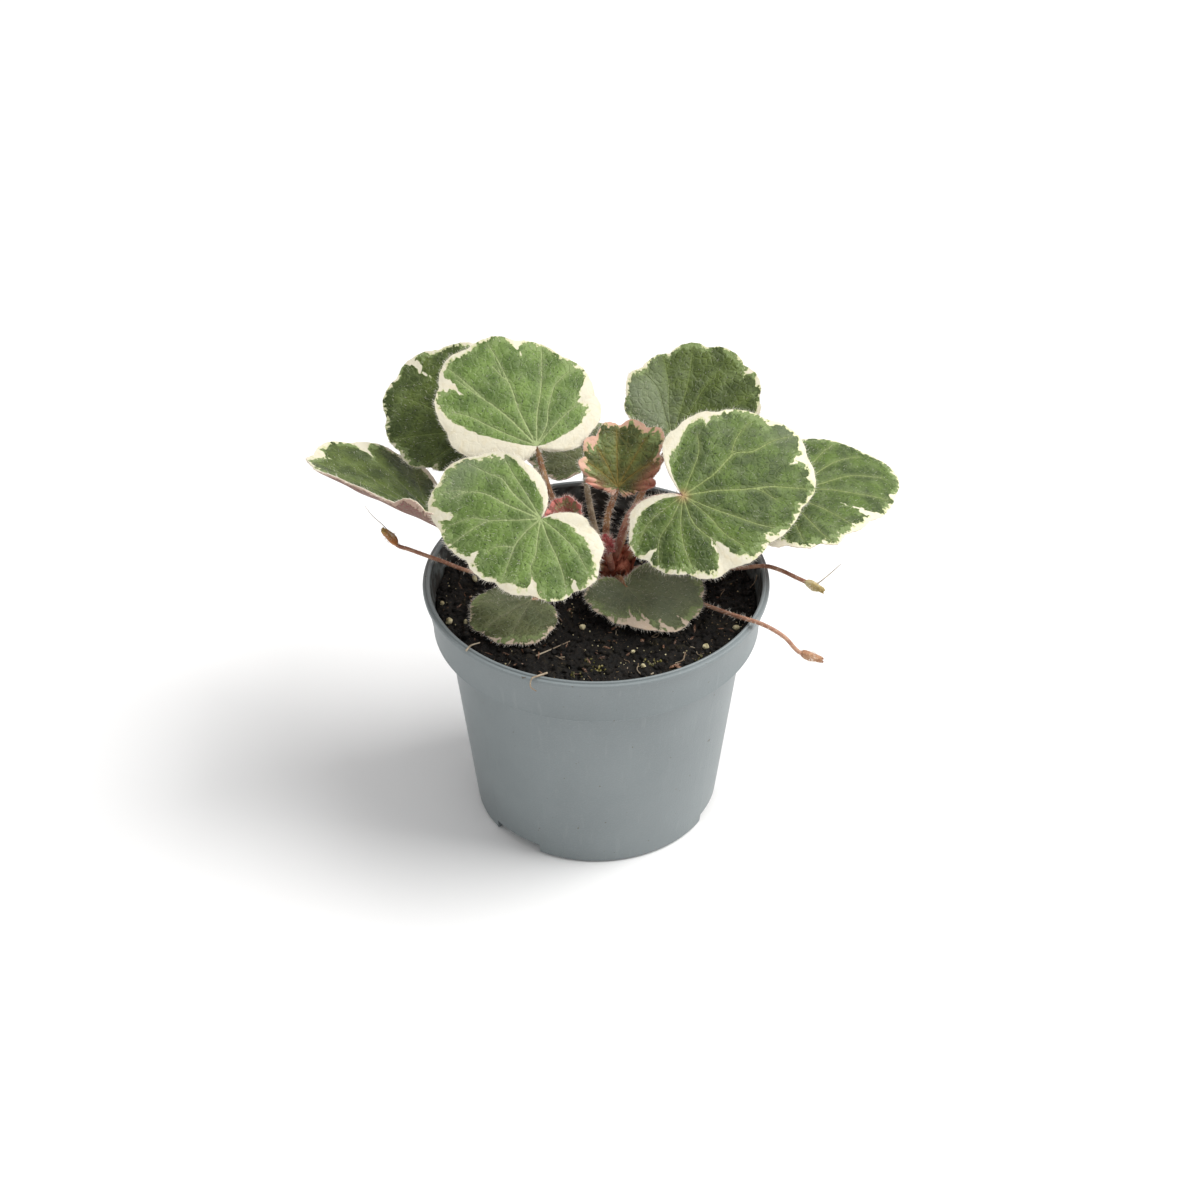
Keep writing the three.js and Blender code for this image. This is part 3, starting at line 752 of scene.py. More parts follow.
def leaf(
    name,
    hub,
    tilt,
    lean,
    heading,
    lobes,
    via,
    material,
    bend=(0, 0),
    fold=0,
    curl=0,
    curl_from=0,
    notch=1.2,
    margin=((-150, 0.6), (150, 0.6)),
    wedges=(),
    veins=(),
    silver_sheen=(),
    blush=(),
    ruffle=0.35,
    frill=0,
    around=200,
    outward=46,
    face_hairs=1500,
    edge_hairs=430,
    stalk_hairs=260,
    stalk="tan",
    hair=white_hair,
):
    """One blade with its stalk and hairs. Lengths are in mm and angles in degrees."""
    midrib, left, normal = blade_axes(tilt, lean, heading)
    hub = np.array(hub, float)
    first, last = lobes[0][0], lobes[-1][0]
    phase = sum(hub)

    def edge(angles):
        fray = 0.16 * np.sin(angles * 0.9 + phase) * np.sin(angles * 0.37 + 2 * phase)
        return np.maximum(reach(lobes, notch, angles) + fray, 0.5)

    def spoke(angles, far):
        """The place in the blade's plane at each angle and distance, and the way out to it."""
        turn = np.radians(angles)
        out = np.cos(turn)[:, None] * midrib + np.sin(turn)[:, None] * left
        return far * np.cos(turn), far * np.sin(turn), out

    def height(x, y):
        """Height of the blade's middle over its plane."""
        vee = fold * (np.hypot(y, 2) - 2)
        bowl = bend[0] * x**2 + bend[1] * y**2 + vee + curl * np.maximum(0, y - curl_from) ** 2
        far = np.hypot(x, y)
        angles = np.degrees(np.arctan2(y, x))
        share = np.clip(far / edge(angles), 0, 1)
        turn = np.radians(angles)
        wave = ruffle * share**3 * (np.sin(turn * 7 + phase) + 0.5 * np.sin(turn * 13))
        wave += frill * share**4 * np.clip((np.abs(angles) - 40) / 60, 0.15, 1) * np.sin(turn * 29)
        _, away = nearest_vein(veins, x, y)
        quilt = 0.3 * (1 - np.exp(-((away / 1.5) ** 2))) - 0.12 * np.exp(-((away / 0.45) ** 2))
        return bowl + wave + quilt * np.clip(far / 4, 0, 1) * (1 - 0.6 * share**4)

    def surface(x, y):
        lift = height(x, y)
        return hub + x[:, None] * midrib + y[:, None] * left + lift[:, None] * normal

    def facing(x, y):
        """The blade's upward direction at each point."""
        small = 0.2
        along = surface(x + small, y) - surface(x - small, y)
        across = surface(x, y + small) - surface(x, y - small)
        return unit(np.cross(along, across))

    clear_selection()
    bpy.ops.mesh.primitive_grid_add(x_subdivisions=around, y_subdivisions=outward, size=1)
    piece = bpy.context.active_object
    mesh = piece.data
    points = points_of(mesh)
    angles = last + (first - last) * (points[:, 0] + 0.5)
    rim = edge(angles)
    far = (points[:, 1] + 0.5) * rim
    x, y, _ = spoke(angles, far)
    mesh.vertices.foreach_set("co", (surface(x, y) * MM).ravel())

    offset, away = nearest_vein(veins, x, y)
    inward = rim - far
    width = np.interp(angles, [a for a, _ in margin], [w for _, w in margin])
    cream = width - inward
    for angle, depth, base in wedges:
        drift = 0.45 * np.sin(inward * 1.3 + angle) + 0.25 * np.sin(inward * 3.1 + 2 * angle)
        aside = np.abs(np.radians(angles - angle) * rim + drift * np.clip(inward / 1.5, 0, 1))
        cream = np.maximum(cream, depth * (1 - 2 * aside / base) - inward)

    def patches(spots):
        """Soft round patches, each with its middle, size and strength."""
        total = np.zeros(len(x))
        for spot_x, spot_y, size, strength in spots:
            total += strength * np.exp(-(((x - spot_x) ** 2 + (y - spot_y) ** 2) / size**2))
        return np.clip(total, 0, 1)

    keep(mesh, "flat", "FLOAT_VECTOR", np.stack([x + phase, y, np.zeros(len(x))], axis=1))
    keep(mesh, "ray", "FLOAT_VECTOR", np.stack([np.radians(angles) * 8, far * 0.16, x * 0 + phase], axis=1))
    keep(mesh, "cream", "FLOAT", cream)
    # Patches of painted silver sheen from the hairs, for the material to lighten.
    keep(mesh, "silver_sheen", "FLOAT", patches(silver_sheen))
    keep(mesh, "blush", "FLOAT", patches(blush))
    keep(mesh, "vein", "FLOAT_VECTOR", offset.T)
    keep(mesh, "vein_far", "FLOAT", away)
    thin = piece.vertex_groups.new(name="thickness")
    for index, rest in enumerate(np.clip(0.35 + inward / 2.5, 0.35, 1)):
        thin.add([index], float(rest), "REPLACE")
    bpy.ops.object.mode_set(mode="EDIT")
    bpy.ops.mesh.select_all(action="SELECT")
    bpy.ops.mesh.remove_doubles(threshold=0.02 * MM)
    bpy.ops.object.mode_set(mode="OBJECT")
    before = len(mesh.vertices)
    solid = piece.modifiers.new("thickness", "SOLIDIFY")
    solid.thickness = BLADE_THICKNESS * MM
    solid.offset = 0
    solid.vertex_group = "thickness"
    solid.thickness_vertex_group = 0.3
    bpy.ops.object.modifier_apply(modifier=solid.name)
    below = np.zeros(len(mesh.vertices))
    points = points_of(mesh)
    second_higher = np.mean((points[before : 2 * before] - points[:before]) @ normal) > 0
    below[:before] = float(second_higher)
    below[before:] = float(not second_higher)
    keep(mesh, "under", "FLOAT", below)
    finished(name, material, "leaf", name, smooth=50)

    route = smooth_route([crown_foot(via[0]), *via, hub - normal * 0.3], 8)
    radii = [STALK_RADIUS * (1.15 - 0.3 * step / len(route)) for step in range(len(route))]
    tube(route, radii)
    finished(name + "_stalk", stalk_materials[stalk], "leaf")

    # Hairs: spread evenly along the edge, then at random on the face and the stalk.
    at = np.linspace(first, last, EDGE_STEPS)
    x, y, _ = spoke(at, edge(at))
    run = np.concatenate([[0], np.cumsum(np.hypot(np.diff(x), np.diff(y)))])
    steps = (np.arange(edge_hairs) + chance.uniform(0, 0.7, edge_hairs)) / edge_hairs
    at = np.interp(steps * run[-1], run, at)
    x, y, out = spoke(at, edge(at))
    ways = out + facing(x, y) * chance.normal(0.1, 0.35, (edge_hairs, 1))
    ways += chance.normal(0, 0.2, (edge_hairs, 3))
    roots = surface(x, y) - out * 0.15
    lengths = chance.uniform(0.7, 1.5, edge_hairs)
    at = chance.uniform(first, last, face_hairs)
    x, y, out = spoke(at, edge(at) * np.sqrt(chance.uniform(0.02, 1, face_hairs)))
    up = facing(x, y)
    roots = np.concatenate([roots, surface(x, y) + up * 0.1])
    ways = np.concatenate([ways, up + out * 1.3 + chance.normal(0, 0.5, (face_hairs, 3))])
    lengths = np.concatenate([lengths, chance.uniform(0.5, 1.4, face_hairs)])
    spots, along, out = along_stem(route, 0.12, stalk_hairs)
    roots = np.concatenate([roots, spots + out * STALK_RADIUS * 0.85])
    ways = np.concatenate([ways, out + along * chance.normal(-0.1, 0.35, (stalk_hairs, 1))])
    lengths = np.concatenate([lengths, chance.uniform(0.9, 2.1, stalk_hairs)])
    widths = np.repeat(list(HAIR_WIDTHS.values()), [edge_hairs, face_hairs, stalk_hairs])
    hairs(name + "_hairs", roots, ways, lengths, widths, hair, "leaf")


edge_tones = (paint(217, 211, 190), paint(180, 192, 118))
fresh = leaf_finish(
    "leaf_fresh", paint(68, 92, 32), paint(116, 142, 68), paint(172, 186, 130), *edge_tones, 0.15
)
ripe = leaf_finish(
    "leaf_ripe", paint(44, 62, 12), paint(86, 110, 36), paint(150, 164, 102), *edge_tones, 0.15
)
deep_green = leaf_finish(
    "leaf_deep", paint(48, 62, 16), paint(88, 104, 38), paint(122, 138, 74), *edge_tones, 0.2
)
dull = leaf_finish(
    "leaf_dull",
    paint(64, 72, 34),
    paint(108, 116, 74),
    paint(146, 150, 114),
    paint(206, 188, 168),
    paint(156, 154, 118),
    0.3,
)
peach = leaf_finish(
    "leaf_peach",
    paint(52, 62, 22),
    paint(102, 114, 56),
    paint(146, 124, 58),
    paint(206, 164, 142),
    paint(160, 162, 96),
    0.2,
)

# Top leaf: the highest blade, fresh green, with a broad cream lobe on each side of its stalk. It
# leans toward the viewer, on a tan stalk that rises up and to the left from the crown.
leaf(
    "leaf_top",
    hub=(-15.2, 14, 101.3),
    tilt=40,
    lean=-80,
    heading=100,
    bend=(-0.004, -0.004),
    lobes=(
        (-150, 1.5), (-122, 2.5), (-97, 10.5), (-67, 19.5), (-37, 25), (-8, 29),
        (14, 32.5), (38, 33), (61, 28), (86, 20.5), (111, 10.5), (150, 1.5),
    ),
    via=((-5.5, 11, 75), (-11.2, 13.4, 85), (-13.6, 14.2, 93)),
    material=fresh,
    margin=(
        (-150, 9), (-97, 12), (-85, 12), (-75, 11), (-70, 8), (-65, 5.5), (-60, 5), (-56, 3.5),
        (-50, 5.5), (-45, 6), (-40, 1.2), (-30, 0.6), (-8, 0.5), (10, 0.4), (22, 0.6), (30, 1.8),
        (36, 1.5), (44, 1.3), (52, 1), (60, 0.8), (65, 3), (70, 7.5), (76, 15), (82, 20), (150, 12),
    ),
    wedges=((2, 4, 3.5), (46, 8, 4)),
    veins=(
        (0.42, (0, 0), (9.9, 3.3), (18, 4.9), (20.5, 6.8), (23, 8.3)),
        (0.25, (18, 4.9), (24.3, 6.7), (29.3, 8.6)),
        (0.42, (0, 0), (7.4, 5.5), (12.4, 9.9), (14.9, 12.7), (20.5, 18)),
        (0.25, (14, 11.6), (19.9, 16.1), (24.3, 19.9)),
        (0.4, (0, 0), (8, -1.1), (14.3, -2.9), (21.1, -4.2), (27, -5)),
        (0.36, (0, 0), (5.5, -3.3), (10.5, -4.5), (16.1, -7), (19.9, -11.4)),
        (0.36, (0, 0), (4.9, -5.1), (8.6, -9.5), (11.1, -13.3)),
        (0.36, (0, 0), (3, 5.5), (6.4, 11.1), (9.9, 16.1), (11.8, 20.5)),
    ),
)

# Front left leaf: a large domed blade, turned to the viewer's lower left. Fresh green with cream
# scallops and a painted silver sheen of hairs toward its front, on a tan stalk up from the crown.
leaf(
    "leaf_front_left",
    hub=(-13.8, -12, 96.8),
    tilt=28,
    lean=-95,
    heading=215,
    bend=(-0.005, -0.005),
    lobes=(
        (-150, 1.5), (-124, 11.5), (-94, 23.5), (-70, 29.5), (-45, 29.5), (-17, 24), (10, 21.5),
        (36, 21), (67, 22), (96, 21.5), (124, 17), (155, 9.5), (170, 3.5),
    ),
    via=((-1.8, 1, 74), (-8, -6, 85), (-12, -9.8, 92.5)),
    material=fresh,
    silver_sheen=((6, -26, 6, 0.8), (14, -22, 5, 0.6), (-3, -22, 4, 0.4)),
    margin=(
        (-150, 3), (-140, 4), (-130, 5.4), (-120, 6), (-110, 5.8), (-105, 3.5), (-100, 1.5),
        (-92, 1.6), (-85, 1.8), (-78, 1.2), (-70, 0.7), (-58, 0.7), (-50, 0.9), (-45, 1.2),
        (-28, 0.8), (-18, 0.5), (-8, 0.7), (8, 1), (20, 0.8), (28, 1.5), (35, 3), (41, 1.5),
        (58, 1.6), (64, 1.2), (72, 0.7), (88, 0.5), (98, 0.9), (106, 1.8), (112, 3.5), (120, 6),
        (130, 7.5), (150, 9), (170, 4),
    ),
    wedges=((-3, 4.5, 4), (51, 5, 4.5), (83, 5, 1.6), (-39, 7, 6), (-94, 4, 2)),
    veins=(
        (0.4, (0, 0), (5.8, -3.5), (10.8, -6.9), (14.5, -7.6), (22, -7.3)),
        (0.25, (10.8, -6.9), (13.9, -10.4), (19.5, -12.3)),
        (0.42, (0, 0), (5.1, -8.5), (7.6, -14.1), (10.8, -17.3), (15.1, -18.5)),
        (0.25, (10.8, -17.3), (13, -19.6), (16.4, -21.6)),
        (0.36, (0, 0), (2, -10.4), (2, -15.4), (3.9, -19.1), (6.4, -24.8)),
        (0.3, (0, 0), (-0.8, -10.4), (-1.1, -15.4), (-1.8, -20.4)),
        (0.4, (0, 0), (5.8, 1.2), (9.5, 2.8), (13.3, 5.9), (16.4, 8.4)),
        (0.22, (9.5, 2.8), (13, 0.3), (16, 0)),
        (0.36, (0, 0), (3.9, 4.6), (6.4, 7.8), (8.9, 9.6), (10.4, 12.8)),
        (0.34, (0, 0), (1.4, 5.9), (2, 10.3), (3.3, 15.9), (4.5, 19)),
        (0.3, (0, 0), (-1.8, 5.9), (-2.7, 12.1), (-2.4, 17.8)),
    ),
)

# Front right leaf: a broad flat blade that faces the viewer, its stalk notch to the left. Darker
# green with cream wedges between its scallops, on a pink stalk that leans right from the crown.
leaf(
    "leaf_front_right",
    hub=(21.9, -4, 98.3),
    tilt=40,
    lean=-85,
    heading=-30,
    bend=(-0.006, -0.006),
    lobes=(
        (-165, 2), (-142, 12.5), (-108, 19), (-79, 20), (-46, 22), (-16, 24), (11, 28.5),
        (33, 35), (57, 35.5), (81, 29), (104, 23), (134, 14.5), (152, 2.5),
    ),
    via=((6.9, 6.4, 80), (9.5, 4.6, 88), (15, 0.6, 94.5)),
    material=ripe,
    silver_sheen=((16, 30, 6, 0.5), (-2, 22, 4, 0.3)),
    stalk="pink",
    margin=(
        (-165, 6), (-152, 7.5), (-142, 6), (-132, 3.5), (-122, 1.6), (-110, 0.8), (-80, 0.7),
        (-60, 0.8), (-52, 1.2), (-42, 1.5), (-38, 3.5), (-32, 5), (-24, 4), (-18, 1.5),
        (-10, 0.8), (-4, 1.2), (8, 1), (18, 0.6), (25, 1), (31, 1), (36, 2), (41, 1.2), (50, 2),
        (55, 1), (62, 0.8), (80, 0.8), (90, 1.5), (100, 1.5), (106, 2), (112, 3.6), (120, 5),
        (130, 5.6), (140, 4.6), (152, 3),
    ),
    blush=((0, 0, 1.5, 0.5),),
    wedges=(
        (1, 4, 3), (45, 6, 4), (66, 3.5, 3), (97, 4.5, 4), (-28, 8, 7), (-33, 10, 2.4),
        (-67, 2, 2), (-94, 4, 3),
    ),
    veins=(
        (0.42, (0, 0), (7.4, 5.2), (13, 8.3), (19.3, 12.7), (24.3, 15.2), (28, 17)),
        (0.25, (12, 7.8), (16.1, 10.2), (21.8, 10.2)),
        (0.42, (0, 0), (4.9, 8.9), (7.4, 16.4), (11.1, 18.9), (14.9, 24.6), (18, 27.7)),
        (0.25, (6.8, 14.6), (6.1, 20.8), (7.4, 26.4)),
        (0.32, (0, 0), (-0.4, 6.4), (-1.1, 12.7), (-3.3, 17)),
        (0.36, (0, 0), (7.4, 0.2), (14.3, 1.1), (20.5, 2.1), (24.3, 3.3)),
        (0.3, (0, 0), (7.4, -1.7), (13.6, -4.2), (19.3, -4.8)),
        (0.34, (0, 0), (5.5, -5.4), (11.8, -7.3), (14.9, -10.4)),
        (0.32, (0, 0), (3, -7.9), (6.8, -12.9), (10.5, -16)),
        (0.3, (0, 0), (-0.1, -7.3), (-0.8, -12.3), (1.8, -18.5)),
        (0.28, (0, 0), (-2.6, -4.8), (-5.1, -10.4), (-5.1, -15.4)),
    ),
)

# Back right leaf: a darker blade behind the front right one, tilted toward the viewer, with a thin
# cream edge. Its left side has a painted silver sheen of hairs, and its stalk is tan.
leaf(
    "leaf_back_right",
    hub=(19.7, 24, 96.5),
    tilt=38,
    lean=-90,
    heading=75,
    bend=(0, 0.002),
    fold=0.1,
    lobes=(
        (-150, 1.5), (-118, 6.5), (-82, 13), (-56, 23.5), (-36, 28), (-13, 29), (9, 27),
        (30, 23), (52, 20.5), (76, 14.5), (100, 7.5), (150, 1.5),
    ),
    via=((8.5, 15, 77), (14, 20.5, 87), (18.4, 23.4, 93.5)),
    material=deep_green,
    margin=((-150, 0.7), (-60, 1), (-40, 0.8), (-20, 0.6), (20, 0.5), (60, 0.7), (150, 0.7)),
    wedges=((-29, 3, 2.5), (38, 2, 2)),
    silver_sheen=((6, 8, 6, 0.8), (10, 12, 5, 0.7), (4, 4, 4, 0.5), (14, 9, 3, 0.4)),
    veins=(
        (0.32, (0, 0), (6.4, 4.2), (12, 7.9), (14.5, 12.3)),
        (0.32, (0, 0), (8.3, 0.4), (17, 1), (25, 2.6)),
        (0.32, (0, 0), (7.7, -2), (15.2, -3.3), (22, -5.8)),
        (0.26, (0, 0), (8.3, 3.6), (14.6, 5.8), (20.8, 9.2)),
        (0.3, (0, 0), (6.4, -7), (12.7, -12), (17.7, -16.4)),
    ),
)

# Back left leaf: in the shade behind the left leaf, dark olive with one cream streak, on a tan
# stalk that runs back and to the left from the crown.
leaf(
    "leaf_back_left",
    hub=(-29.9, 29, 95.7),
    tilt=36,
    lean=-100,
    heading=140,
    bend=(-0.003, -0.003),
    lobes=(
        (-150, 3), (-122, 10), (-95, 17), (-72, 23), (-46, 26.5), (-15, 30), (10, 29),
        (32, 25.5), (56, 21), (78, 14.5), (105, 10), (150, 2),
    ),
    via=((-5, 16, 73), (-18, 24.5, 81), (-27, 28.5, 91)),
    material=deep_green,
    margin=((-150, 1), (-60, 1), (-30, 1.2), (-20, 0.6), (20, 0.5), (60, 0.7), (150, 1)),
    wedges=((-15, 11, 2.4),),
    veins=(
        (0.32, (0, 0), (9, 1), (18, 1.5), (26, 3)),
        (0.32, (0, 0), (8, 5), (15, 10), (20, 14)),
        (0.3, (0, 0), (8, -4), (15, -8), (21, -14)),
        (0.28, (0, 0), (4, 7), (7, 13), (9, 18)),
    ),
)

# Left leaf: spreads out to the left over the rim, its near edge curled up so that a strip of its
# dull pink underside shows. Dark green with a cream edge, on a long tan stalk.
leaf(
    "leaf_left",
    hub=(-40.8, 7, 83.4),
    tilt=30,
    lean=34,
    heading=176,
    bend=(0, 0.008),
    curl=0.05,
    curl_from=8,
    lobes=(
        (-150, 5.5), (-119, 9.5), (-88, 14.5), (-66, 26), (-44, 33), (-21, 37.5), (2, 37),
        (20, 34), (38, 22.5), (64, 19), (90, 16), (118, 12), (150, 5.5),
    ),
    via=((-6, 8, 69.5), (-22, 6.5, 73.5), (-35, 6.6, 79.8)),
    material=deep_green,
    margin=(
        (-150, 8), (-90, 14), (-82, 12), (-78, 6), (-74, 3.5), (-70, 3), (-66, 1.5), (-55, 1),
        (-45, 0.8), (-30, 0.7), (-20, 0.6), (-8, 1.5), (0, 1), (15, 1.8), (30, 1.4), (150, 1.4),
    ),
    wedges=((-12, 5, 4), (-37, 6.5, 5), (-50, 3, 3), (-58, 2.5, 2)),
    veins=(
        (0.36, (0, 0), (9.6, -3), (18.9, -6.1), (28.3, -9.3)),
        (0.36, (0, 0), (7, -6.8), (14.6, -12.4), (22, -17.4)),
        (0.34, (0, 0), (5.2, -8.6), (9.6, -17.4), (12, -23.6)),
        (0.34, (0, 0), (11.4, -0.5), (22, 0.1), (33.3, -0.5)),
        (0.3, (0, 0), (10, 4), (18, 8), (24, 12)),
    ),
)

# Right leaf: reaches out over the right side of the pot, half under the front right leaf. Green
# with a thin cream edge and one long cream wedge, on a long tan stalk.
leaf(
    "leaf_right",
    hub=(48.1, 12, 87.7),
    tilt=10,
    lean=-60,
    heading=-5,
    bend=(-0.008, -0.004),
    lobes=(
        (-152, 7), (-130, 14), (-101, 18), (-67, 19), (-42, 20), (-16, 22), (8, 28),
        (38, 38.5), (66, 30.5), (93, 22), (122, 14), (150, 6),
    ),
    via=((13, 12.5, 71), (28, 14, 77.5), (42, 12.6, 83)),
    material=ripe,
    margin=(
        (-152, 2), (-115, 3), (-100, 3.5), (-92, 2), (-80, 1), (-60, 0.8), (-45, 1), (-28, 0.8),
        (-20, 1), (-15, 2), (-8, 2), (-3, 2.5), (3, 1.2), (10, 0.6), (30, 0.6), (38, 1),
        (50, 0.5), (80, 1), (150, 2),
    ),
    wedges=((3, 11, 2.6), (23, 3.5, 1.4), (-38, 1.5, 2), (-88, 3, 2)),
    veins=(
        (0.36, (0, 0), (11, 4.8), (18, 6.6), (28.6, 10.4)),
        (0.36, (0, 0), (9.3, 6), (18, 13.5), (26.8, 17.9)),
        (0.36, (0, 0), (8.6, 10.4), (14.3, 18.5), (20.5, 24)),
        (0.32, (0, 0), (6.8, 12.3), (9.9, 19.8), (13, 25.4)),
        (0.32, (0, 0), (8.6, -2.1), (14.9, -4), (19.3, -5.9)),
        (0.32, (0, 0), (6.1, -6.5), (11.1, -11.5), (13.6, -12.8)),
        (0.3, (0, 0), (3, -7.8), (6.1, -15.3)),
    ),
)

# Leaf behind: a dull blade, glimpsed only through the gap in the middle. It lies nearly level
# behind the crown, on a grey stalk, and has fewer hairs than the leaves in view.
leaf(
    "leaf_behind",
    hub=(-2.9, 26, 87),
    tilt=4,
    lean=-90,
    heading=95,
    bend=(-0.004, -0.004),
    lobes=(
        (-152, 3.5), (-120, 9), (-88, 12.5), (-56, 16), (-26, 20), (4, 21.5), (34, 20.5),
        (64, 17), (94, 13), (124, 9), (152, 3.5),
    ),
    via=((0, 14.5, 73.5), (-2.2, 21, 81.5)),
    material=dull,
    stalk="grey",
    margin=((-152, 0.8), (152, 0.8)),
    veins=(
        (0.3, (0, 0), (9, 0.5), (18, 1)),
        (0.3, (0, 0), (7, 6), (13, 11)),
        (0.3, (0, 0), (7, -6), (13, -11)),
    ),
    around=140,
    outward=30,
    face_hairs=500,
    edge_hairs=240,
)

# Young leaf: small, still half folded, olive with frilled peach edges, in the middle of the plant.
# Its tan stalk rises almost straight up from the crown.
leaf(
    "leaf_young",
    hub=(5.6, 10, 91.3),
    tilt=46,
    lean=-90,
    heading=90,
    fold=0.45,
    notch=1.8,
    lobes=(
        (-150, 3), (-118, 4.5), (-92, 9.5), (-66, 12), (-40, 18), (-13, 18), (10, 17),
        (36, 14.5), (62, 11.5), (86, 8), (112, 3.5), (150, 2.5),
    ),
    via=((2.6, 9.2, 76), (2.9, 9.4, 82), (4.4, 9.9, 87.5)),
    material=peach,
    margin=(
        (-150, 1.5), (-90, 1.2), (-60, 0.8), (-30, 1), (-15, 1.4), (-5, 1.5), (8, 0.8), (22, 1),
        (30, 2.2), (36, 2.2), (44, 1), (52, 1), (58, 2), (66, 1.4), (72, 2.4), (95, 2.6), (150, 2),
    ),
    wedges=((32, 4.5, 3), (62, 4, 3), (-8, 3, 2), (-35, 2.5, 2), (-60, 2.5, 2)),
    blush=((-1, -8, 3, 0.9), (3, -10.5, 2.5, 0.8), (-2, 6.5, 3, 0.9), (0, 9.5, 2.2, 0.6)),
    frill=0.75,
    veins=(
        (0.3, (0, 0), (7, 0.2), (15, 0.4)),
        (0.26, (0, 0), (6, 3), (12, 6.5)),
        (0.26, (0, 0), (3.5, 4), (6, 8)),
        (0.26, (0, 0), (6, -3.5), (12, -7)),
        (0.26, (0, 0), (3.5, -4.5), (6, -9)),
    ),
    around=130,
    outward=30,
    face_hairs=350,
    edge_hairs=230,
    ruffle=0.3,
)

# Low left leaf: small and dull, lying just over the soil in the shade of the others. Its pale
# edge is thin and broken, and its tan stalk is short.
leaf(
    "leaf_low_left",
    hub=(-16.6, -5.2, 66.2),
    tilt=3,
    lean=-90,
    heading=215,
    bend=(-0.006, -0.006),
    notch=0.8,
    lobes=(
        (-140, 1.5), (-99, 4.5), (-69, 11), (-38, 15.5), (-6, 17.5), (26, 17), (60, 15.5),
        (93, 10.5), (138, 3),
    ),
    via=((-8, 1.4, 66.4),),
    material=dull,
    margin=((-140, 0), (-60, 0), (10, -0.2), (45, 0.3), (57, 0.8), (138, 0)),
    wedges=((35, 2.5, 2), (57, 1.6, 2.5), (22, 2.5, 1.5)),
    silver_sheen=((6, -6, 5, 0.5), (2, 4, 5, 0.3)),
    veins=(
        (0.26, (0, 0), (8, 0.4), (14, 0.8)),
        (0.26, (0, 0), (7, 4.5), (12, 8)),
        (0.26, (0, 0), (6.5, -5), (11, -8.5)),
    ),
    around=110,
    outward=26,
    face_hairs=420,
    edge_hairs=240,
    stalk_hairs=60,
    ruffle=0.15,
)

# Low right leaf: small and soft with hairs, greyed by a painted sheen, its front edge pinkish cream.
# It lies just over the soil in front of the crown, on a short tan stalk.
leaf(
    "leaf_low_right",
    hub=(8, -3.6, 69),
    tilt=12,
    lean=-80,
    heading=-55,
    bend=(-0.004, -0.004),
    notch=0.8,
    lobes=(
        (-170, 4.5), (-140, 9.5), (-108, 11.5), (-80, 11.5), (-50, 12), (-20, 14), (10, 18.5),
        (38, 20), (65, 20), (97, 17), (132, 5.5), (160, 3),
    ),
    via=((6.8, 0, 68.4),),
    material=dull,
    margin=(
        (-170, 0.4), (-110, 0.3), (-60, 0.4), (-40, 2), (-25, 2.8), (-12, 2.4), (-5, 1.2),
        (10, 0.8), (20, 0.3), (50, 0.1), (160, 0.2),
    ),
    wedges=((-30, 6, 3), (-12, 8, 2), (4, 7, 1.6), (20, 5, 1.4), (-55, 2, 2), (-80, 2, 2)),
    silver_sheen=((6, 8, 7, 0.9), (2, -4, 6, 0.8), (12, 3, 4, 0.7), (-4, -6, 4, 0.6), (10, 14, 6, 0.6)),
    veins=(
        (0.24, (0, 0), (8, 0.4), (14, 1.6)),
        (0.24, (0, 0), (7, 6), (12, 11)),
        (0.24, (0, 0), (4, -5.5), (6, -9.5)),
    ),
    around=140,
    outward=28,
    face_hairs=900,
    edge_hairs=320,
    stalk_hairs=30,
    ruffle=0.2,
)

# Young folded leaf at the left of the crown: pink and thick with hairs, just opening. It is a
# small blade folded along its midrib, on a pink stalk.
bud_leaf_skin = leaf_finish(
    "leaf_blush",
    paint(126, 66, 58),
    paint(170, 98, 86),
    paint(190, 126, 110),
    paint(200, 118, 110),
    paint(180, 100, 90),
    0.2,
)
leaf(
    "bud_left",
    hub=(-7.4, 4.8, 85),
    tilt=62,
    lean=-100,
    heading=90,
    fold=0.8,
    notch=0.5,
    frill=0.5,
    lobes=((-130, 2), (-95, 4), (-60, 5.5), (-20, 6), (20, 6), (60, 5.5), (95, 4), (130, 2)),
    via=((-0.8, 7.2, 72.2), (-5, 5.4, 78.5)),
    material=bud_leaf_skin,
    margin=((-130, 1), (130, 1)),
    veins=((0.2, (0, 0), (2.5, 0.1), (5, 0.2)),),
    around=70,
    outward=16,
    face_hairs=260,
    edge_hairs=200,
    stalk_hairs=200,
    stalk="pink",
    hair=pink_hair,
)

# Shut bud in the middle: a rolled young leaf, crimson pink, its folds still closed. It is made as
# a creased and pitted egg on a short pink stalk, with pink hairs all over.
BUD_FOOT = (4, 4.4, 70)
BUD_CENTRE = (2.6, 4.4, 77.2)
BUD_HAIRS = 420
BUD_HAIR_WIDTH = 0.045


def bud_finish():
    material, shader, tone = new_finish("bud_skin", Specular_IOR_Level=0.4)
    at = place(tone)
    patch = tone.noise(at, 330, 3)
    fine = tone.noise(at, 2600, 2)
    colour = patch.over(0.36, 0.6).pick(paint(158, 66, 66), paint(198, 112, 108))
    colour = (patch.over(0.58, 0.68) * 0.8).pick(colour, paint(110, 82, 46))
    bump = relief(tone, fine + tone.noise(at, 1100, 2) * 2, 0.0005)
    return wear(material, shader, Base_Color=colour, Roughness=0.5 + fine * 0.2, Normal=bump)


